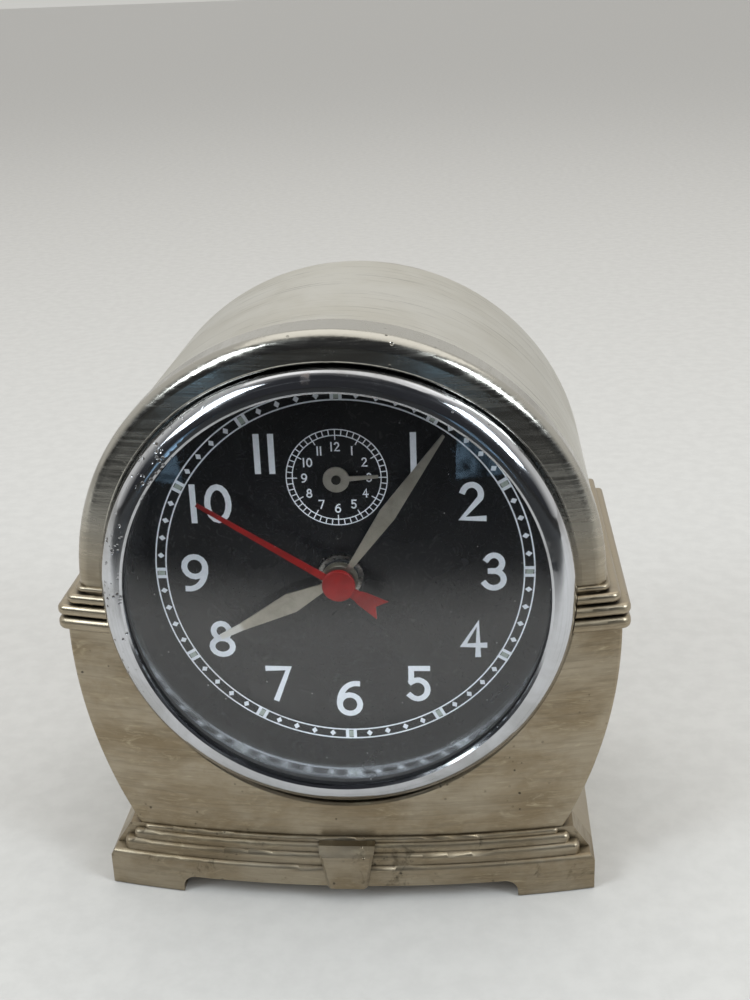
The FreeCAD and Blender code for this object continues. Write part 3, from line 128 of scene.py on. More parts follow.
class Surface:
    """A procedural material round one Principled shader."""

    def __init__(self, name, colour, roughness, metallic=0.0):
        self.material = bpy.data.materials.new(name)
        self.material.use_nodes = True
        self.tree = self.material.node_tree
        self.shader = self.tree.nodes["Principled BSDF"]
        self.shader.inputs["Base Color"].default_value = (*colour, 1.0)
        self.shader.inputs["Roughness"].default_value = roughness
        self.shader.inputs["Metallic"].default_value = metallic
        self.place = self.add("ShaderNodeTexCoord").outputs["Object"]

    def add(self, kind, **settings):
        node = self.tree.nodes.new(kind)
        for name, value in settings.items():
            setattr(node, name, value)
        return node

    def feed(self, socket, value):
        """Links an output to a socket, or sets the socket to a number."""
        if isinstance(value, bpy.types.NodeSocket):
            self.tree.links.new(value, socket)
        else:
            socket.default_value = value

    def math(self, operation, a, b=0.0):
        node = self.add("ShaderNodeMath", operation=operation)
        for socket, value in zip(node.inputs, (a, b)):
            self.feed(socket, value)
        return node.outputs[0]

    def times(self, a, b):
        return self.math("MULTIPLY", a, b)

    def plus(self, a, b):
        return self.math("ADD", a, b)

    def minus(self, a, b):
        return self.math("SUBTRACT", a, b)

    def absolute(self, a):
        return self.math("ABSOLUTE", a)

    def larger(self, a, b):
        return self.math("MAXIMUM", a, b)

    def parts(self):
        """X, Y and Z of the place on the object."""
        node = self.add("ShaderNodeSeparateXYZ")
        self.feed(node.inputs[0], self.place)
        return node.outputs

    def join(self, x, y, z):
        node = self.add("ShaderNodeCombineXYZ")
        for socket, value in zip(node.inputs, (x, y, z)):
            self.feed(socket, value)
        return node.outputs[0]

    def stretched(self, x, y, z, vector=None):
        """Coordinates scaled along each axis, so that a texture is drawn out along the small ones."""
        node = self.add("ShaderNodeVectorMath", operation="MULTIPLY")
        self.feed(node.inputs[0], vector or self.place)
        node.inputs[1].default_value = (x, y, z)
        return node.outputs[0]

    def radius(self, z=AXIS_Z):
        """Distance from the line along Y at height z."""
        x, _, height = self.parts()
        rise = self.minus(height, z)
        return self.math("SQRT", self.plus(self.times(x, x), self.times(rise, rise)))

    def bearing(self):
        """Clockwise angle round the hand axis from twelve o'clock, from -pi to pi."""
        x, _, height = self.parts()
        return self.math("ARCTAN2", x, self.minus(height, AXIS_Z))

    def polar(self):
        """Coordinates of arc length at the bezel, radius and depth round the hand axis."""
        return self.join(self.times(self.bearing(), BEZEL_R), self.radius(), self.parts()[1])

    def noise(self, vector, scale, detail=3.0, roughness=0.55, distortion=0.0):
        node = self.add("ShaderNodeTexNoise")
        self.feed(node.inputs["Vector"], vector)
        node.inputs["Scale"].default_value = scale
        node.inputs["Detail"].default_value = detail
        node.inputs["Roughness"].default_value = roughness
        node.inputs["Distortion"].default_value = distortion
        return node.outputs["Fac"]

    def spots(self, vector, scale, size):
        """1 inside small spots scattered one to a cell, 0 outside. size is a share of a cell."""
        node = self.add("ShaderNodeTexVoronoi")
        self.feed(node.inputs["Vector"], vector)
        node.inputs["Scale"].default_value = scale
        return self.ramp(node.outputs["Distance"], size, 0.5 * size)

    def ramp(self, value, low, high, start=0.0, end=1.0):
        """Runs smoothly from start to end while value goes from low to high."""
        node = self.add("ShaderNodeMapRange", interpolation_type="SMOOTHSTEP")
        for name, number in (("From Min", low), ("From Max", high), ("To Min", start), ("To Max", end)):
            self.feed(node.inputs[name], number)
        self.feed(node.inputs["Value"], value)
        return node.outputs[0]

    def mix(self, share, first, second):
        """Colour between first and second, each a colour or an output."""
        node = self.add("ShaderNodeMix", data_type="RGBA")
        self.feed(node.inputs["Factor"], share)
        for socket, colour in zip(colour_sockets(node.inputs), (first, second)):
            self.feed(socket, colour if isinstance(colour, bpy.types.NodeSocket) else (*colour, 1.0))
        return colour_sockets(node.outputs)[0]

    def bump(self, height, depth, normal=None):
        """Normal of a relief that is depth metres deep."""
        node = self.add("ShaderNodeBump")
        node.inputs["Distance"].default_value = depth
        self.feed(node.inputs["Height"], height)
        if normal is not None:
            self.feed(node.inputs["Normal"], normal)
        return node.outputs[0]

    def soft_edges(self, radius):
        """Normal that rounds off the edges."""
        node = self.add("ShaderNodeBevel", samples=6)
        node.inputs["Radius"].default_value = radius
        return node.outputs[0]

    def crevices(self, distance):
        """1 in grooves and inner corners, 0 in the open. An occlusion mask, used to paint shade there."""
        node = self.add("ShaderNodeAmbientOcclusion", samples=6)
        node.inputs["Distance"].default_value = distance
        return self.ramp(node.outputs["AO"], 0.85, 0.35)

    def finish(self, colour=None, roughness=None, normal=None, **constants):
        """Links what varies and sets the shader's other sockets, then gives back the material."""
        for socket, value in (("Base Color", colour), ("Roughness", roughness), ("Normal", normal)):
            if value is not None:
                self.feed(self.shader.inputs[socket], value)
        for name, value in constants.items():
            self.shader.inputs[name.replace("_", " ").title().replace("Ior", "IOR")].default_value = value
        return self.material


# ---- case metals --------------------------------------------------------------------------
CHAMPAGNE = (0.41, 0.35, 0.26)
CHAMPAGNE_STAIN = (0.30, 0.235, 0.15)
CHAMPAGNE_BRIGHT = (0.62, 0.54, 0.38)
CHAMPAGNE_DARK = (0.22, 0.185, 0.135)
PALE_NICKEL = (0.68, 0.665, 0.61)
GREY_NICKEL = (0.50, 0.49, 0.45)
PALE_NICKEL_CLOUDS = (0.57, 0.55, 0.49)
# dark of the pits, nicks, scratches and stains, also used for painted shade in crevices
GRIME_AND_SHADE = (0.055, 0.047, 0.036)
CREVICE_REACH = 1.6 * MM                        # painted shade reaches this far from an inner corner
CHROME_LIGHT = (0.62, 0.63, 0.66)
CHROME_SMUDGE = (0.47, 0.475, 0.485)
CHROME_SCRATCH = (0.30, 0.30, 0.31)
CHIP_BROWN = (0.09, 0.075, 0.06)
RUST_BROWN = (0.20, 0.11, 0.06)
RUST_BEARING = math.radians(-4.5)
RIDGE_R = BEZEL_R - 2.2 * MM                    # crest of the bezel, where the rust is
HAND_NICKEL = (0.50, 0.47, 0.40)
HAND_TARNISH = (0.38, 0.35, 0.29)
PALE_TIP = (0.80, 0.80, 0.77)
NO_PALE_TIP = 1.0                               # a radius beyond the end of every hand


def case_nickel():
    """Brushed champagne nickel, stained below and polished grey over the arch."""
    s = Surface("case_nickel", CHAMPAGNE, 0.35, 1.0)
    z = s.parts()[2]
    arch = s.ramp(z, AXIS_Z - 4 * MM, AXIS_Z + 24 * MM)
    plinth = s.ramp(z, CASE_BOTTOM_Z + 16 * MM, CASE_BOTTOM_Z + 13 * MM)
    clouds = s.noise(s.stretched(1.0, 1.0, 1.6), 42, 5, 0.65, 0.3)
    smears = s.ramp(s.noise(s.stretched(110, 110, 330), 1.0, 5, 0.7, 1.2), 0.54, 0.74)
    smears = s.times(smears, s.ramp(clouds, 0.42, 0.62))
    brushing = s.noise(s.stretched(70, 70, 1300), 1.0, 4, 0.65, 0.7)
    strokes = s.noise(s.stretched(110, 110, 620), 1.0, 4, 0.6, 2.2)
    crosswise = s.noise(s.stretched(1500, 18, 1500, s.polar()), 1.0, 2)
    pits = s.times(s.spots(s.place, 420, 0.17), s.ramp(s.noise(s.place, 90, 2), 0.50, 0.66))
    near_bezel = s.ramp(s.radius(), BEZEL_R + 1.0 * MM, BEZEL_R + 3.5 * MM, 0.25, 0.7)
    # painted shade in grooves and inner corners, from an occlusion mask, scaled by the distance from the
    # bezel
    crevice_shade = s.times(s.crevices(CREVICE_REACH), near_bezel)
    stains = s.ramp(s.noise(s.place, 150, 5, 0.75, 0.5), 0.54, 0.72)

    colour = s.mix(s.ramp(clouds, 0.35, 0.68), CHAMPAGNE, CHAMPAGNE_STAIN)
    colour = s.mix(s.times(stains, 0.45), colour, CHAMPAGNE_STAIN)
    colour = s.mix(s.times(smears, 0.6), colour, CHAMPAGNE_BRIGHT)
    colour = s.mix(s.ramp(brushing, 0.40, 0.72, 0.0, 0.3), colour, CHAMPAGNE_DARK)
    colour = s.mix(s.ramp(strokes, 0.52, 0.74, 0.0, 0.25), colour, CHAMPAGNE_BRIGHT)
    colour = s.mix(s.times(arch, 0.85), colour, GREY_NICKEL)
    colour = s.mix(s.times(plinth, s.ramp(stains, 0.0, 1.0, 0.1, 0.6)), colour, GRIME_AND_SHADE)
    colour = s.mix(crevice_shade, colour, GRIME_AND_SHADE)
    colour = s.mix(s.times(pits, 0.8), colour, GRIME_AND_SHADE)
    roughness = s.ramp(clouds, 0.3, 0.7, 0.36, 0.46)
    roughness = s.plus(roughness, s.ramp(brushing, 0.3, 0.7, -0.08, 0.08))
    roughness = s.plus(roughness, s.times(arch, -0.20))
    roughness = s.plus(roughness, s.times(plinth, 0.04))
    roughness = s.plus(roughness, s.times(smears, -0.06))
    relief = s.plus(brushing, s.times(crosswise, arch))
    normal = s.bump(s.plus(relief, strokes), 0.006 * MM)
    normal = s.bump(s.times(pits, -1.0), 0.1 * MM, normal)
    return s.finish(colour, roughness, normal)


def drum_nickel():
    """Pale satin nickel with fine scratches and dark nicks, champagne below the drum."""
    s = Surface("drum_nickel", PALE_NICKEL, 0.4, 1.0)
    pedestal = s.ramp(s.radius(), DRUM_R + 0.2 * MM, DRUM_R + 0.6 * MM)
    clouds = s.noise(s.place, 38, 3, 0.6, 0.4)
    lathe_marks = s.noise(s.stretched(12, 1800, 12, s.polar()), 1.0, 2)
    scratches = s.noise(s.stretched(40, 700, 900, s.polar()), 1.0, 4, 0.7, 1.2)
    nicks = s.spots(s.stretched(0.5, 1.6, 1.0, s.polar()), 110, 0.07)
    nicks = s.times(nicks, s.ramp(s.noise(s.place, 45, 2), 0.55, 0.62))
    # painted shade in grooves and inner corners, from an occlusion mask
    crevice_shade = s.crevices(CREVICE_REACH)

    colour = s.mix(s.ramp(clouds, 0.3, 0.7), PALE_NICKEL, PALE_NICKEL_CLOUDS)
    colour = s.mix(s.ramp(scratches, 0.54, 0.72, 0.0, 0.45), colour, GRIME_AND_SHADE)
    colour = s.mix(pedestal, colour, CHAMPAGNE)
    colour = s.mix(s.times(nicks, 0.85), colour, GRIME_AND_SHADE)
    colour = s.mix(s.times(crevice_shade, 0.6), colour, GRIME_AND_SHADE)
    roughness = s.plus(s.ramp(clouds, 0.3, 0.7, 0.34, 0.44), s.ramp(scratches, 0.55, 0.7, 0.0, 0.1))
    normal = s.bump(s.plus(lathe_marks, scratches), 0.006 * MM, s.soft_edges(0.25 * MM))
    normal = s.bump(s.times(nicks, -1.0), 0.1 * MM, normal)
    return s.finish(colour, roughness, normal)


def bezel_chrome():
    """Polished chrome with lathe scratches, chips at the upper left and a spot of rust."""
    s = Surface("bezel_chrome", (0.60, 0.61, 0.63), 0.12, 1.0)
    bearing = s.bearing()
    left = s.ramp(bearing, math.radians(-25), math.radians(-45))
    left = s.times(left, s.ramp(bearing, math.radians(-125), math.radians(-100)))
    lathe_marks = s.noise(s.stretched(35, 2200, 2200, s.polar()), 1.0, 3, 0.6)
    smudges = s.noise(s.place, 60, 4, 0.65, 0.8)
    chips = s.spots(s.place, 800, 0.36)
    chips = s.times(chips, s.ramp(s.noise(s.place, 170, 4, 0.7), 0.50, 0.58))
    chips = s.times(chips, left)
    specks = s.times(s.spots(s.place, 520, 0.12), s.ramp(s.noise(s.place, 70, 2), 0.56, 0.66))
    marks = s.larger(chips, specks)
    from_rust = s.absolute(s.minus(bearing, RUST_BEARING))
    rust = s.times(s.ramp(from_rust, math.radians(1.6), math.radians(0.6)), s.ramp(smudges, 0.25, 0.45))
    from_ridge = s.absolute(s.minus(s.radius(), RIDGE_R))
    rust = s.times(rust, s.ramp(from_ridge, 1.3 * MM, 0.7 * MM))

    colour = s.mix(s.ramp(smudges, 0.35, 0.7), CHROME_LIGHT, CHROME_SMUDGE)
    colour = s.mix(s.ramp(lathe_marks, 0.5, 0.8, 0.0, 0.35), colour, CHROME_SCRATCH)
    colour = s.mix(s.times(marks, 0.9), colour, CHIP_BROWN)
    colour = s.mix(s.times(rust, 0.7), colour, RUST_BROWN)
    roughness = s.plus(s.ramp(smudges, 0.35, 0.75, 0.07, 0.2), s.ramp(lathe_marks, 0.5, 0.75, 0.0, 0.14))
    roughness = s.plus(roughness, s.times(s.larger(marks, rust), 0.3))
    normal = s.bump(lathe_marks, 0.003 * MM)
    normal = s.bump(s.times(marks, -1.0), 0.12 * MM, normal)
    return s.finish(colour, roughness, normal)


def reflector_chrome():
    """Polished inner wall between glass and dial, with faint lathe marks."""
    s = Surface("reflector_chrome", (0.5, 0.52, 0.54), 0.1, 1.0)
    lathe_marks = s.noise(s.stretched(30, 900, 900, s.polar()), 1.0, 3)
    dust = s.ramp(s.noise(s.place, 160, 4), 0.5, 0.75)
    colour = s.mix(dust, (0.74, 0.76, 0.78), (0.60, 0.61, 0.62))
    roughness = s.plus(s.ramp(lathe_marks, 0.3, 0.7, 0.14, 0.24), s.times(dust, 0.1))
    tangent = s.add("ShaderNodeTangent", direction_type="RADIAL", axis="Y")
    s.feed(s.shader.inputs["Tangent"], tangent.outputs[0])
    return s.finish(colour, roughness, s.bump(lathe_marks, 0.002 * MM), anisotropic=0.75)


def small_metal(name, colour, dark, roughness, brushing=(300, 300, 1400)):
    """Fine brushed or machined metal for hands, nuts, screws and the works."""
    s = Surface(name, colour, roughness, 1.0)
    lines = s.noise(s.stretched(*brushing), 1.0, 3, 0.6)
    tarnish = s.noise(s.place, 420, 4, 0.6, 0.5)
    tint = s.mix(s.ramp(tarnish, 0.4, 0.75), colour, dark)
    wear = s.plus(s.ramp(lines, 0.3, 0.7, roughness - 0.06, roughness + 0.08), s.times(tarnish, 0.06))
    return s.finish(tint, wear, s.bump(lines, 0.004 * MM))


def hand_bearing(node, axis_z):
    """Clockwise bearing of a hand's tip, from the far corner of its box."""
    low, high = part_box(node)
    far_x = max(low.x, high.x, key=abs)
    far_rise = max(low.z - axis_z, high.z - axis_z, key=abs)
    return math.atan2(far_x, far_rise)


def hand_metal(node, colour, dark, axis_z=AXIS_Z, pale_from=NO_PALE_TIP):
    """Satin hand brushed along its length, paler beyond the radius pale_from."""
    s = Surface(node + "_nickel", colour, 0.34, 1.0)
    turn = s.add("ShaderNodeVectorRotate", rotation_type="Y_AXIS")
    s.feed(turn.inputs["Vector"], s.place)
    turn.inputs["Center"].default_value = (0, 0, axis_z)
    turn.inputs["Angle"].default_value = -hand_bearing(node, axis_z)
    along = turn.outputs[0]
    lines = s.noise(s.stretched(2600, 2600, 90, along), 1.0, 3, 0.6)
    tarnish = s.noise(along, 260, 4, 0.6, 0.6)
    tint = s.mix(s.ramp(tarnish, 0.35, 0.75), colour, dark)
    tint = s.mix(s.ramp(s.radius(axis_z), pale_from, pale_from + 1.5 * MM), tint, PALE_TIP)
    wear = s.plus(s.ramp(lines, 0.3, 0.7, 0.26, 0.4), s.times(tarnish, 0.08))
    return s.finish(tint, wear, s.bump(lines, 0.004 * MM))


# ---- dial and glass -----------------------------------------------------------------------
def dial_black():
    """Glossy black lacquer with polishing swirls and specks of dust."""
    s = Surface("dial_black", (0.006, 0.0065, 0.008), 0.3)
    swirls = s.noise(s.place, 240, 5, 0.75, 4.5)
    dust = s.times(s.spots(s.place, 300, 0.055), s.ramp(s.noise(s.place, 150, 2), 0.48, 0.58))
    haze = s.noise(s.place, 45, 3, 0.6, 0.5)
    colour = s.mix(s.ramp(haze, 0.35, 0.7), (0.005, 0.0055, 0.007), (0.011, 0.011, 0.012))
    colour = s.mix(s.times(dust, 0.8), colour, (0.34, 0.33, 0.31))
    roughness = s.plus(s.ramp(swirls, 0.4, 0.7, 0.16, 0.34), s.times(dust, 0.4))
    return s.finish(colour, roughness, s.bump(swirls, 0.002 * MM), coat_weight=0.12, coat_roughness=0.08,
                    specular_ior_level=0.25)


def printed_ink(name, colour, dark):
    """Slightly uneven matt printing."""
    s = Surface(name, colour, 0.55)
    grain = s.noise(s.place, 900, 4, 0.65)
    tint = s.mix(s.ramp(grain, 0.35, 0.7), colour, dark)
    return s.finish(tint, s.ramp(grain, 0.3, 0.7, 0.45, 0.65), s.bump(grain, 0.01 * MM))


def lens_glass():
    """Clear domed glass with fine wiping scratches, which lets the lamps through."""
    s = Surface("lens_glass", (1.0, 1.0, 1.0), 0.0)
    arcs = s.noise(s.place, 130, 6, 0.8, 5.5)
    specks = s.times(s.spots(s.place, 210, 0.05), s.ramp(s.noise(s.place, 100, 2), 0.5, 0.6))
    scratches = s.ramp(arcs, 0.56, 0.74)
    roughness = s.plus(s.times(scratches, 0.07), s.times(specks, 0.5))
    material = s.finish(None, roughness, s.bump(scratches, 0.001 * MM), transmission_weight=1.0, ior=1.5)
    clear = s.add("ShaderNodeBsdfTransparent")
    path = s.add("ShaderNodeLightPath")
    pick = s.add("ShaderNodeMixShader")
    output = s.tree.nodes["Material Output"]
    s.feed(pick.inputs[0], path.outputs["Is Shadow Ray"])
    s.feed(pick.inputs[1], s.shader.outputs[0])
    s.feed(pick.inputs[2], clear.outputs[0])
    s.feed(output.inputs["Surface"], pick.outputs[0])
    return material


SIGNAL_RED = (0.25, 0.007, 0.006)
FADED_RED = (0.17, 0.006, 0.005)


def second_red():
    """Red paint, a little worn."""
    s = Surface("second_red", SIGNAL_RED, 0.42)
    grain = s.noise(s.place, 700, 5, 0.6)
    fading = s.noise(s.place, 180, 3, 0.6, 0.5)
    colour = s.mix(s.ramp(fading, 0.35, 0.7), SIGNAL_RED, FADED_RED)
    return s.finish(colour, s.ramp(grain, 0.3, 0.7, 0.34, 0.52), s.bump(grain, 0.012 * MM),
                    specular_ior_level=0.25)


# ---- plain stuff --------------------------------------------------------------------------
def moulded(name, colour, worn, roughness, grain_scale=1400, depth=0.02 * MM):
    """Moulded plastic or rubber with a fine grain, a few handling marks and painted shade in its crevices.
    """
    s = Surface(name, colour, roughness)
    grain = s.noise(s.place, grain_scale, 3, 0.6)
    handling = s.noise(s.place, 70, 4, 0.6, 0.8)
    tint = s.mix(s.ramp(handling, 0.45, 0.75), colour, worn)
    # painted shade: darker in grooves and inner corners, from an occlusion mask
    tint = s.mix(s.times(s.crevices(1.2 * MM), 0.5), tint, tuple(0.35 * channel for channel in colour))
    wear = s.plus(s.ramp(handling, 0.4, 0.7, roughness + 0.05, roughness - 0.06), s.times(grain, 0.08))
    return s.finish(tint, wear, s.bump(grain, depth, s.soft_edges(0.12 * MM)))


def board():
    """Circuit board with tracks under its lacquer."""
    s = Surface("board", (0.03, 0.16, 0.07), 0.35)
    tracks = s.add("ShaderNodeTexBrick")
    x, _, z = s.parts()
    s.feed(tracks.inputs["Vector"], s.join(x, z, 0.0))
    tracks.inputs["Scale"].default_value = 260
    tracks.inputs["Mortar Size"].default_value = 0.03
    grain = s.noise(s.place, 800, 3)
    tint = s.mix(tracks.outputs["Fac"], (0.028, 0.13, 0.06), (0.05, 0.22, 0.10))
    return s.finish(tint, s.ramp(grain, 0.3, 0.7, 0.28, 0.42), s.bump(tracks.outputs["Fac"], 0.03 * MM))


def copper_wire():
    """Fine enamelled wire wound round the bobbin."""
    s = Surface("copper_wire", (0.55, 0.22, 0.09), 0.35, 1.0)
    turns = s.add("ShaderNodeTexWave", wave_type="BANDS", bands_direction="X")
    s.feed(turns.inputs["Vector"], s.place)
    turns.inputs["Scale"].default_value = 1500
    turns.inputs["Distortion"].default_value = 0.6
    ridge = turns.outputs["Fac"]
    # painted shade between the turns and painted highlight on their crests
    tint = s.mix(ridge, (0.32, 0.11, 0.045), (0.62, 0.26, 0.11))
    return s.finish(tint, s.ramp(ridge, 0, 1, 0.5, 0.3), s.bump(ridge, 0.04 * MM))


BATTERY_BAND = 17.0 * MM                        # length of the coloured band
BATTERY_END = 2.0 * MM                          # bare metal at each end of the sleeve


def battery_jacket():
    """Printed sleeve in two plain colours with bare metal ends."""
    s = Surface("battery_jacket", (0.02, 0.02, 0.022), 0.3)
    low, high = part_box("battery")
    x = s.parts()[0]
    band = s.ramp(x, high.x - BATTERY_BAND - 0.2 * MM, high.x - BATTERY_BAND)
    middle_x = (low.x + high.x) / 2
    half_sleeve = (high.x - low.x) / 2 - BATTERY_END
    ends = s.ramp(s.absolute(s.minus(x, middle_x)), half_sleeve, half_sleeve + 0.1 * MM)
    scuffs = s.noise(s.stretched(60, 900, 900), 1.0, 4, 0.7)
    tint = s.mix(band, (0.02, 0.021, 0.024), (0.42, 0.24, 0.08))
    tint = s.mix(s.ramp(scuffs, 0.62, 0.8, 0.0, 0.35), tint, (0.35, 0.34, 0.32))
    tint = s.mix(ends, tint, (0.6, 0.6, 0.6))
    s.feed(s.shader.inputs["Metallic"], ends)
    return s.finish(tint, s.ramp(scuffs, 0.4, 0.8, 0.25, 0.45), s.bump(scuffs, 0.01 * MM))


def paint_nodes():
    """Gives every CAD node its material. The wheels are the ones without a finish of their own."""
    steel = small_metal("screw_steel", (0.52, 0.51, 0.49), (0.30, 0.28, 0.25), 0.3)
    works = moulded("wheel_plastic", (0.72, 0.70, 0.64), (0.62, 0.59, 0.52), 0.42)
    housing = moulded("movement_plastic", (0.030, 0.030, 0.032), (0.045, 0.045, 0.046), 0.45)
    cover = moulded("cover_plastic", (0.022, 0.022, 0.023), (0.040, 0.039, 0.038), 0.5, 900, 0.04 * MM)
    rubber = moulded("pad_rubber", (0.020, 0.020, 0.020), (0.045, 0.043, 0.040), 0.75)
    brass = small_metal("pipe_brass", (0.60, 0.43, 0.18), (0.40, 0.27, 0.10), 0.28)
    contact = small_metal("contact_steel", (0.60, 0.60, 0.58), (0.42, 0.40, 0.36), 0.25)
    collet = small_metal("collet_nickel", (0.62, 0.61, 0.58), (0.42, 0.40, 0.36), 0.16)
    finishes = {
        "front_casting": case_nickel(),
        "case_shell": drum_nickel(),
        "foot_pads": rubber,
        "bezel": bezel_chrome(),
        "lens": lens_glass(),
        "lens_gasket": moulded("gasket_rubber", (0.015, 0.015, 0.016), (0.03, 0.03, 0.03), 0.7),
        "reflector_ring": reflector_chrome(),
        "dial": dial_black(),
        "dial_screws": steel,
        "movement_washer": rubber,
        "fixing_nut": small_metal("nut_nickel", (0.40, 0.39, 0.37), (0.25, 0.24, 0.22), 0.25),
        "movement_front_housing": housing,
        "movement_rear_housing": housing,
        "middle_plate": moulded("plate_plastic", (0.66, 0.65, 0.60), (0.55, 0.53, 0.47), 0.45),
        "circuit_board": board(),
        "buzzer": small_metal("buzzer_brass", (0.66, 0.50, 0.24), (0.45, 0.32, 0.14), 0.3),
        "stator": small_metal("iron", (0.36, 0.35, 0.34), (0.24, 0.22, 0.20), 0.4),
        "coil": copper_wire(),
        "battery": battery_jacket(),
        "contact_positive": contact,
        "contact_negative": contact,
        "minute_pipe": brass,
        "alarm_arbor": small_metal("arbor_steel", (0.035, 0.033, 0.03), (0.02, 0.018, 0.016), 0.5),
        "rotor": small_metal("magnet", (0.20, 0.20, 0.20), (0.12, 0.12, 0.12), 0.4),
        "hour_hand": hand_metal("hour_hand", HAND_NICKEL, HAND_TARNISH, pale_from=24 * MM),
        "minute_hand": hand_metal("minute_hand", HAND_NICKEL, HAND_TARNISH),
        "alarm_hand": hand_metal("alarm_hand", (0.52, 0.49, 0.43), (0.40, 0.37, 0.31), ALARM_Z),
        "hour_collet": collet,
        "minute_collet": collet,
        "second_hand": second_red(),
        "time_set_knob": moulded("knob_plastic", (0.025, 0.025, 0.027), (0.05, 0.05, 0.05), 0.4),
        "alarm_set_knob": moulded("alarm_knob_plastic", (0.025, 0.025, 0.027), (0.05, 0.05, 0.05), 0.4),
        "alarm_switch": moulded("switch_plastic", (0.55, 0.54, 0.50), (0.42, 0.40, 0.36), 0.4),
        "back_cover": cover,
        "cover_screws": steel,
    }
    for name, node in nodes.items():
        node.material_slots[0].material = finishes.get(name, works)


# ---- printed figures ----------------------------------------------------------------------
def clock_point(radius, turn, middle):
    """(x, z) at a share of a whole clockwise turn from twelve o'clock."""
    angle = 2 * math.pi * turn
    return middle[0] + radius * math.sin(angle), middle[1] + radius * math.cos(angle)


def add_patch(mesh, points, ink=WHITE_INK, layer=0):
    """Flat printed patch on the dial from (x, z) points."""
    y = DIAL_Y - INK - layer * INK_STEP
    face = mesh.faces.new([mesh.verts.new((x, y, z)) for x, z in points])
    face.material_index = ink


def directions(turn):
    """Outward along the radius at a share of a turn, and clockwise across it."""
    angle = 2 * math.pi * turn
    return Vector((math.sin(angle), math.cos(angle))), Vector((math.cos(angle), -math.sin(angle)))


def add_ring(mesh, radius, line, middle, steps):
    """Thin printed circle of straight pieces."""
    inner = radius - line / 2
    outer = radius + line / 2
    for index in range(steps):
        turns = (index / steps, (index + 1) / steps)
        add_patch(mesh, [
            clock_point(inner, turns[0], middle), clock_point(outer, turns[0], middle),
            clock_point(outer, turns[1], middle), clock_point(inner, turns[1], middle),
        ])


def add_bar(mesh, inner, outer, half_width, turn, shift, middle, ink=WHITE_INK):
    """Bar along a radius, shifted sideways."""
    along, across = directions(turn)
    start = Vector(middle)
    corners = [(inner, -1), (outer, -1), (outer, 1), (inner, 1)]
    points = [start + r * along + (shift + side * half_width) * across for r, side in corners]
    add_patch(mesh, points, ink, 1 + ink)


def add_diamond(mesh, turn, middle):
    """Small diamond of the minute track."""
    mid_r = (TRACK_INNER_R + TRACK_OUTER_R) / 2
    along, across = directions(turn)
    start = Vector(middle) + mid_r * along
    add_patch(mesh, [
        start + DIAMOND_HALF_HEIGHT * along, start + DIAMOND_HALF_WIDTH * across,
        start - DIAMOND_HALF_HEIGHT * along, start - DIAMOND_HALF_WIDTH * across,
    ])


def curved(middle, radii, start, end, steps=16):
    """Points along an elliptical arc, its angles in degrees from +X upwards."""
    points = []
    for index in range(steps + 1):
        angle = math.radians(start + (end - start) * index / steps)
        points.append((middle[0] + radii[0] * math.cos(angle), middle[1] + radii[1] * math.sin(angle)))
    return points


# centre lines of the figures in a box that runs from -0.5 to 0.5 both ways
SIX_LINES = [curved((0, -0.19), (0.5, 0.31), 0, 360), curved((0.32, -0.15), (0.82, 0.65), 85, 180)]
FIGURE_LINES = {
    "0": [curved((0, 0), (0.5, 0.5), 0, 360)],
    "1": [[(0, -0.5), (0, 0.5)]],
    "2": [curved((-0.03, 0.22), (0.42, 0.28), 160, -25) + [(-0.48, -0.5), (0.5, -0.5)]],
    "3": [curved((-0.05, 0.26), (0.38, 0.24), 150, -90), curved((-0.07, -0.24), (0.47, 0.26), 90, -150),
          [(-0.2, 0.02), (0, 0.02)]],
    "4": [[(0.2, -0.5), (0.2, 0.5), (-0.5, -0.2), (0.5, -0.2)]],
    "5": [[(0.4, 0.5), (-0.38, 0.5), (-0.38, 0.08)], curved((-0.08, -0.19), (0.48, 0.31), 128, -140)],
    "6": SIX_LINES,
    "7": [[(-0.5, 0.5), (0.5, 0.5), (-0.15, -0.5)]],
    "8": [curved((0, 0.26), (0.38, 0.24), 0, 360), curved((0, -0.24), (0.5, 0.26), 0, 360)],
    "9": [[(-x, -y) for x, y in line] for line in SIX_LINES],
}


def add_stroke(mesh, points, stroke, first_layer):
    """Ribbon of even width along a line of (x, z) points, with square ends. Gives the next free layer."""
    line = [Vector(point) for point in points]
    closed = (line[0] - line[-1]).length < 0.01 * stroke
    steps = [(b - a).normalized() for a, b in zip(line, line[1:])]
    if not closed:
        line[0] -= 0.5 * stroke * steps[0]
        line[-1] += 0.5 * stroke * steps[-1]
    before = [steps[-1] if closed else steps[0]] + steps
    after = steps + [steps[0] if closed else steps[-1]]
    edges = []
    for point, came, goes in zip(line, before, after):
        across = Vector((-came.y - goes.y, came.x + goes.x)).normalized()
        reach = min(1 / max(across.dot(Vector((-came.y, came.x))), 0.1), MITRE_LIMIT)
        edges.append((point - 0.5 * stroke * reach * across, point + 0.5 * stroke * reach * across))
    for index, ((low, high), (next_low, next_high)) in enumerate(zip(edges, edges[1:])):
        add_patch(mesh, [low, next_low, next_high, high], layer=first_layer + index)
    return first_layer + len(edges)


def add_numeral(mesh, text, x, z, width, height, stroke):
    """An hour in even strokes, centred on (x, z)."""
    gap = FIGURE_GAP * width
    widths = [stroke if figure == "1" else width for figure in text]
    left = x - (sum(widths) + gap * (len(text) - 1)) / 2
    for figure, breadth in zip(text, widths):
        middle = left + breadth / 2
        layer = 1
        for line in FIGURE_LINES[figure]:
            points = [(middle + u * (breadth - stroke), z + v * (height - stroke)) for u, v in line]
            layer = add_stroke(mesh, points, stroke, layer)
        left += breadth + gap


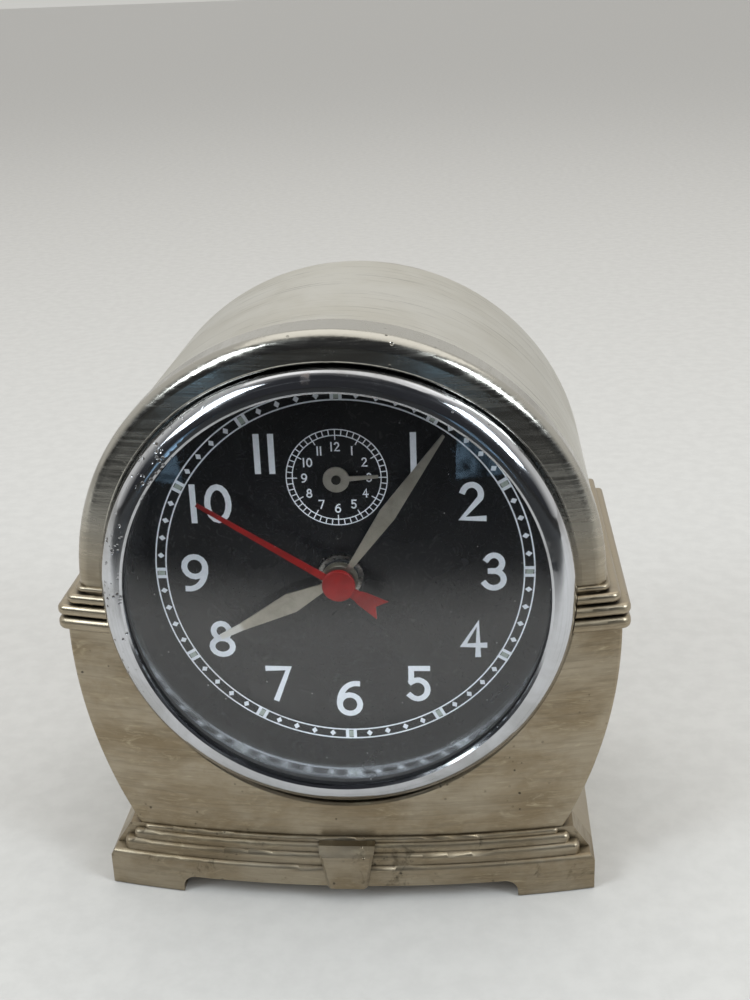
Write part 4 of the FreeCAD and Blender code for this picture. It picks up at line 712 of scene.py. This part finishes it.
def print_minute_track(mesh):
    """Two rings with a diamond at each minute, and a lume bar between two white ones at each hour."""
    middle = PRINT_MIDDLE
    for radius in (TRACK_OUTER_R, TRACK_INNER_R):
        add_ring(mesh, radius, TRACK_LINE, middle, RING_STEPS)
    lume_inner = TRACK_INNER_R + TRACK_LINE
    lume_outer = TRACK_OUTER_R - TRACK_LINE
    for minute in range(60):
        turn = minute / 60
        if minute % 5:
            add_diamond(mesh, turn, middle)
            continue
        for shift in (-HOUR_BAR_SHIFT, HOUR_BAR_SHIFT):
            add_bar(mesh, TRACK_INNER_R, TRACK_OUTER_R, HOUR_BAR_HALF_WIDTH, turn, shift, middle)
        add_bar(mesh, lume_inner, lume_outer, LUME_HALF_WIDTH, turn, 0.0, middle, LUME_INK)


def print_hours(mesh):
    """Large numerals on a slightly widened circle. The alarm ring takes the place of the twelve."""
    middle = PRINT_MIDDLE
    for hour in range(1, 12):
        spread = NUMERAL_SPREAD * math.sin(2 * math.pi * hour / 12) ** 2
        x, z = clock_point(NUMERAL_RADIUS + spread, hour / 12, middle)
        add_numeral(mesh, str(hour), x, z, NUMERAL_WIDTH, NUMERAL_HEIGHT, NUMERAL_STROKE)


def print_alarm_ring(mesh):
    """Small ring of quarter hours with its own numerals."""
    middle = (0.0, ALARM_Z)
    for radius in (ALARM_RING_OUTER_R, ALARM_RING_INNER_R):
        add_ring(mesh, radius, ALARM_LINE, middle, ALARM_RING_STEPS)
    for division in range(ALARM_DIVISIONS):
        at_hour = division % ALARM_DIVISIONS_PER_HOUR == 0
        inner = ALARM_RING_INNER_R - (ALARM_HOUR_TICK if at_hour else 0.0)
        add_bar(mesh, inner, ALARM_RING_OUTER_R, ALARM_LINE / 2, division / ALARM_DIVISIONS, 0.0, middle)
    for hour in range(1, 13):
        x, z = clock_point(ALARM_NUMERAL_RADIUS, hour / 12, middle)
        add_numeral(mesh, str(hour), x, z, ALARM_NUMERAL_WIDTH, ALARM_NUMERAL_HEIGHT, ALARM_NUMERAL_STROKE)


def print_dial():
    """Everything printed on the dial, as one piece in white and lume ink."""
    mesh = bmesh.new()
    print_minute_track(mesh)
    print_hours(mesh)
    print_alarm_ring(mesh)
    bmesh.ops.recalc_face_normals(mesh, faces=mesh.faces)
    data = bpy.data.meshes.new("dial_print")
    mesh.to_mesh(data)
    mesh.free()
    data.materials.append(printed_ink("dial_white", (0.84, 0.86, 0.90), (0.76, 0.78, 0.82)))
    data.materials.append(printed_ink("dial_lume", (0.38, 0.42, 0.37), (0.30, 0.34, 0.29)))
    piece = bpy.data.objects.new("dial_print", data)
    bpy.context.scene.collection.objects.link(piece)
    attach(piece, "case")


# ---- studio -------------------------------------------------------------------------------
def studio_sheet(name, corners, material):
    """Flat sheet of the studio, from its four corners."""
    data = bpy.data.meshes.new(name)
    data.from_pydata(corners, [], [(0, 1, 2, 3)])
    data.materials.append(material)
    sheet = bpy.data.objects.new(name, data)
    bpy.context.scene.collection.objects.link(sheet)
    return sheet


def level_corners(y0, y1, z):
    """Corners of a level strip from y0 to y1, as wide as the floor."""
    return [(-FLOOR_REACH, y0, z), (FLOOR_REACH, y0, z), (FLOOR_REACH, y1, z), (-FLOOR_REACH, y1, z)]


def make_floor():
    """Plain pale floor."""
    s = Surface("floor_pale", (0.50, 0.49, 0.47), 0.7)
    grain = s.noise(s.place, 160, 4, 0.6)
    tint = s.mix(s.ramp(grain, 0.3, 0.7), (0.49, 0.483, 0.467), (0.46, 0.453, 0.438))
    material = s.finish(tint, s.ramp(grain, 0.3, 0.7, 0.65, 0.8), s.bump(grain, 0.05 * MM))
    studio_sheet("floor", level_corners(-FLOOR_REACH, FLOOR_REACH, 0.0), material)


def make_dark_card():
    """Dark sheet beyond the near floor that paints a dark room into reflections, seen only in reflections
    and fading in.
    """
    s = Surface("dark_card", (0.01, 0.01, 0.01), 0.9)
    grain = s.noise(s.place, 20, 3)
    s.feed(s.shader.inputs["Alpha"], s.ramp(s.parts()[1], DARK_FROM_Y, DARK_FROM_Y - DARK_FADE))
    tint = s.mix(grain, (0.008, 0.008, 0.008), (0.014, 0.014, 0.014))
    material = s.finish(tint, s.ramp(grain, 0, 1, 0.85, 0.95))
    card = studio_sheet("dark_card", level_corners(-FLOOR_REACH, DARK_FROM_Y, DARK_LIFT), material)
    show_in_reflections_only(card)


def show_in_reflections_only(thing):
    """Hides a thing from the camera and keeps it from lighting or shading the rest."""
    thing.visible_camera = False
    thing.visible_diffuse = False
    thing.visible_shadow = False


def make_window_glints():
    """Narrow upright patches of cold light that show in the upper part of the glass."""
    for name, x, y in GLINT_PLACES:
        s = Surface(name, (0.0, 0.0, 0.0), 1.0)
        clouds = s.ramp(s.noise(s.place, 30, 3, 0.6, 1.0), 0.3, 0.6)
        fade = s.times(clouds, s.ramp(s.parts()[2], 0.9 * GLINT_HEIGHT, 0.4 * GLINT_HEIGHT))
        s.feed(s.shader.inputs["Emission Color"], s.mix(fade, (0.0, 0.0, 0.0), GLINT_COLOUR))
        s.shader.inputs["Emission Strength"].default_value = GLINT_STRENGTH
        left = x - GLINT_WIDTH / 2
        right = x + GLINT_WIDTH / 2
        corners = [
            (left, y, GLINT_BOTTOM), (left, y, GLINT_HEIGHT),
            (right, y, GLINT_HEIGHT), (right, y, GLINT_BOTTOM),
        ]
        show_in_reflections_only(studio_sheet(name, corners, s.material))


def aim(thing, place, target):
    """Puts a lamp in its place, facing the target."""
    thing.location = place
    thing.rotation_mode = "QUATERNION"
    thing.rotation_quaternion = (target - place).to_track_quat("-Z", "Y")


def soft_light(name, place, width, height, power, colour):
    """Rectangular lamp that faces the dial."""
    data = bpy.data.lights.new(name, "AREA")
    data.shape = "RECTANGLE"
    data.size = width
    data.size_y = height
    data.energy = power
    data.color = colour
    lamp = bpy.data.objects.new(name, data)
    bpy.context.scene.collection.objects.link(lamp)
    lamp.visible_camera = False
    data.diffuse_factor = LAMP_DIFFUSE
    aim(lamp, Vector(place), Vector((0.0, 0.0, AXIS_Z)))


def make_lights():
    """Two cool windows in front and a warm ceiling."""
    soft_light("window_left", (-0.75, -0.55, 0.75), 0.35, 0.6, 6.0, (0.86, 0.94, 1.0))
    soft_light("window_right", (0.75, -0.45, 0.62), 0.28, 0.5, 5.0, (0.86, 0.94, 1.0))
    soft_light("overhead", (0.1, 0.35, 1.3), 1.8, 1.6, 7.0, (1.0, 0.98, 0.94))


def make_world():
    """Even pale light; reflections see a pale wall behind the clock and a dim room in front."""
    world = bpy.data.worlds.new("room")
    bpy.context.scene.world = world
    world.use_nodes = True
    world.cycles.sampling_method = "NONE"
    tree = world.node_tree
    link = tree.links.new
    background = tree.nodes["Background"]
    place = tree.nodes.new("ShaderNodeTexCoord")
    split = tree.nodes.new("ShaderNodeSeparateXYZ")
    slope = tree.nodes.new("ShaderNodeMapRange")
    path = tree.nodes.new("ShaderNodeLightPath")
    link(place.outputs["Generated"], split.inputs[0])
    link(split.outputs["Y"], slope.inputs["Value"])
    slope.inputs["From Min"].default_value = ROOM_DARK_TO_Y
    slope.inputs["From Max"].default_value = ROOM_PALE_FROM_Y
    room = mix_world(tree, slope.outputs[0], ROOM_DARK, ROOM_PALE)
    light = mix_world(tree, path.outputs["Is Camera Ray"], SKY_LIGHT, WALL_COLOUR)
    seen = mix_world(tree, path.outputs["Is Glossy Ray"], light, room)
    link(seen, background.inputs["Color"])
    background.inputs["Strength"].default_value = 1.0


def mix_world(tree, share, first, second):
    """Colour of the world between first and second, each a colour or an output."""
    node = tree.nodes.new("ShaderNodeMix")
    node.data_type = "RGBA"
    tree.links.new(share, node.inputs["Factor"])
    for socket, colour in zip(colour_sockets(node.inputs), (first, second)):
        if isinstance(colour, bpy.types.NodeSocket):
            tree.links.new(colour, socket)
        else:
            socket.default_value = (*colour, 1.0)
    return colour_sockets(node.outputs)[0]


def make_camera():
    """Camera turned by yaw, then dip, then roll."""
    data = bpy.data.cameras.new("camera")
    data.lens = CAMERA_LENS
    data.sensor_width = SENSOR_SIZE
    data.clip_start = 0.01
    camera = bpy.data.objects.new("camera", data)
    bpy.context.scene.collection.objects.link(camera)
    ahead = Vector((math.sin(CAMERA_YAW), math.cos(CAMERA_YAW), 0.0))
    forward = math.cos(CAMERA_DIP) * ahead - math.sin(CAMERA_DIP) * Vector((0.0, 0.0, 1.0))
    level = Vector((math.cos(CAMERA_YAW), -math.sin(CAMERA_YAW), 0.0))
    upright = level.cross(forward)
    right = math.cos(CAMERA_ROLL) * level + math.sin(CAMERA_ROLL) * upright
    up = math.cos(CAMERA_ROLL) * upright - math.sin(CAMERA_ROLL) * level
    turn = Matrix((right, up, -forward)).transposed().to_4x4()
    camera.matrix_world = Matrix.Translation(CAMERA_PLACE) @ turn
    bpy.context.scene.camera = camera


paint_nodes()
print_dial()
make_floor()
make_dark_card()
make_window_glints()
make_lights()
make_world()
make_camera()
bpy.context.scene.view_settings.view_transform = "Standard"
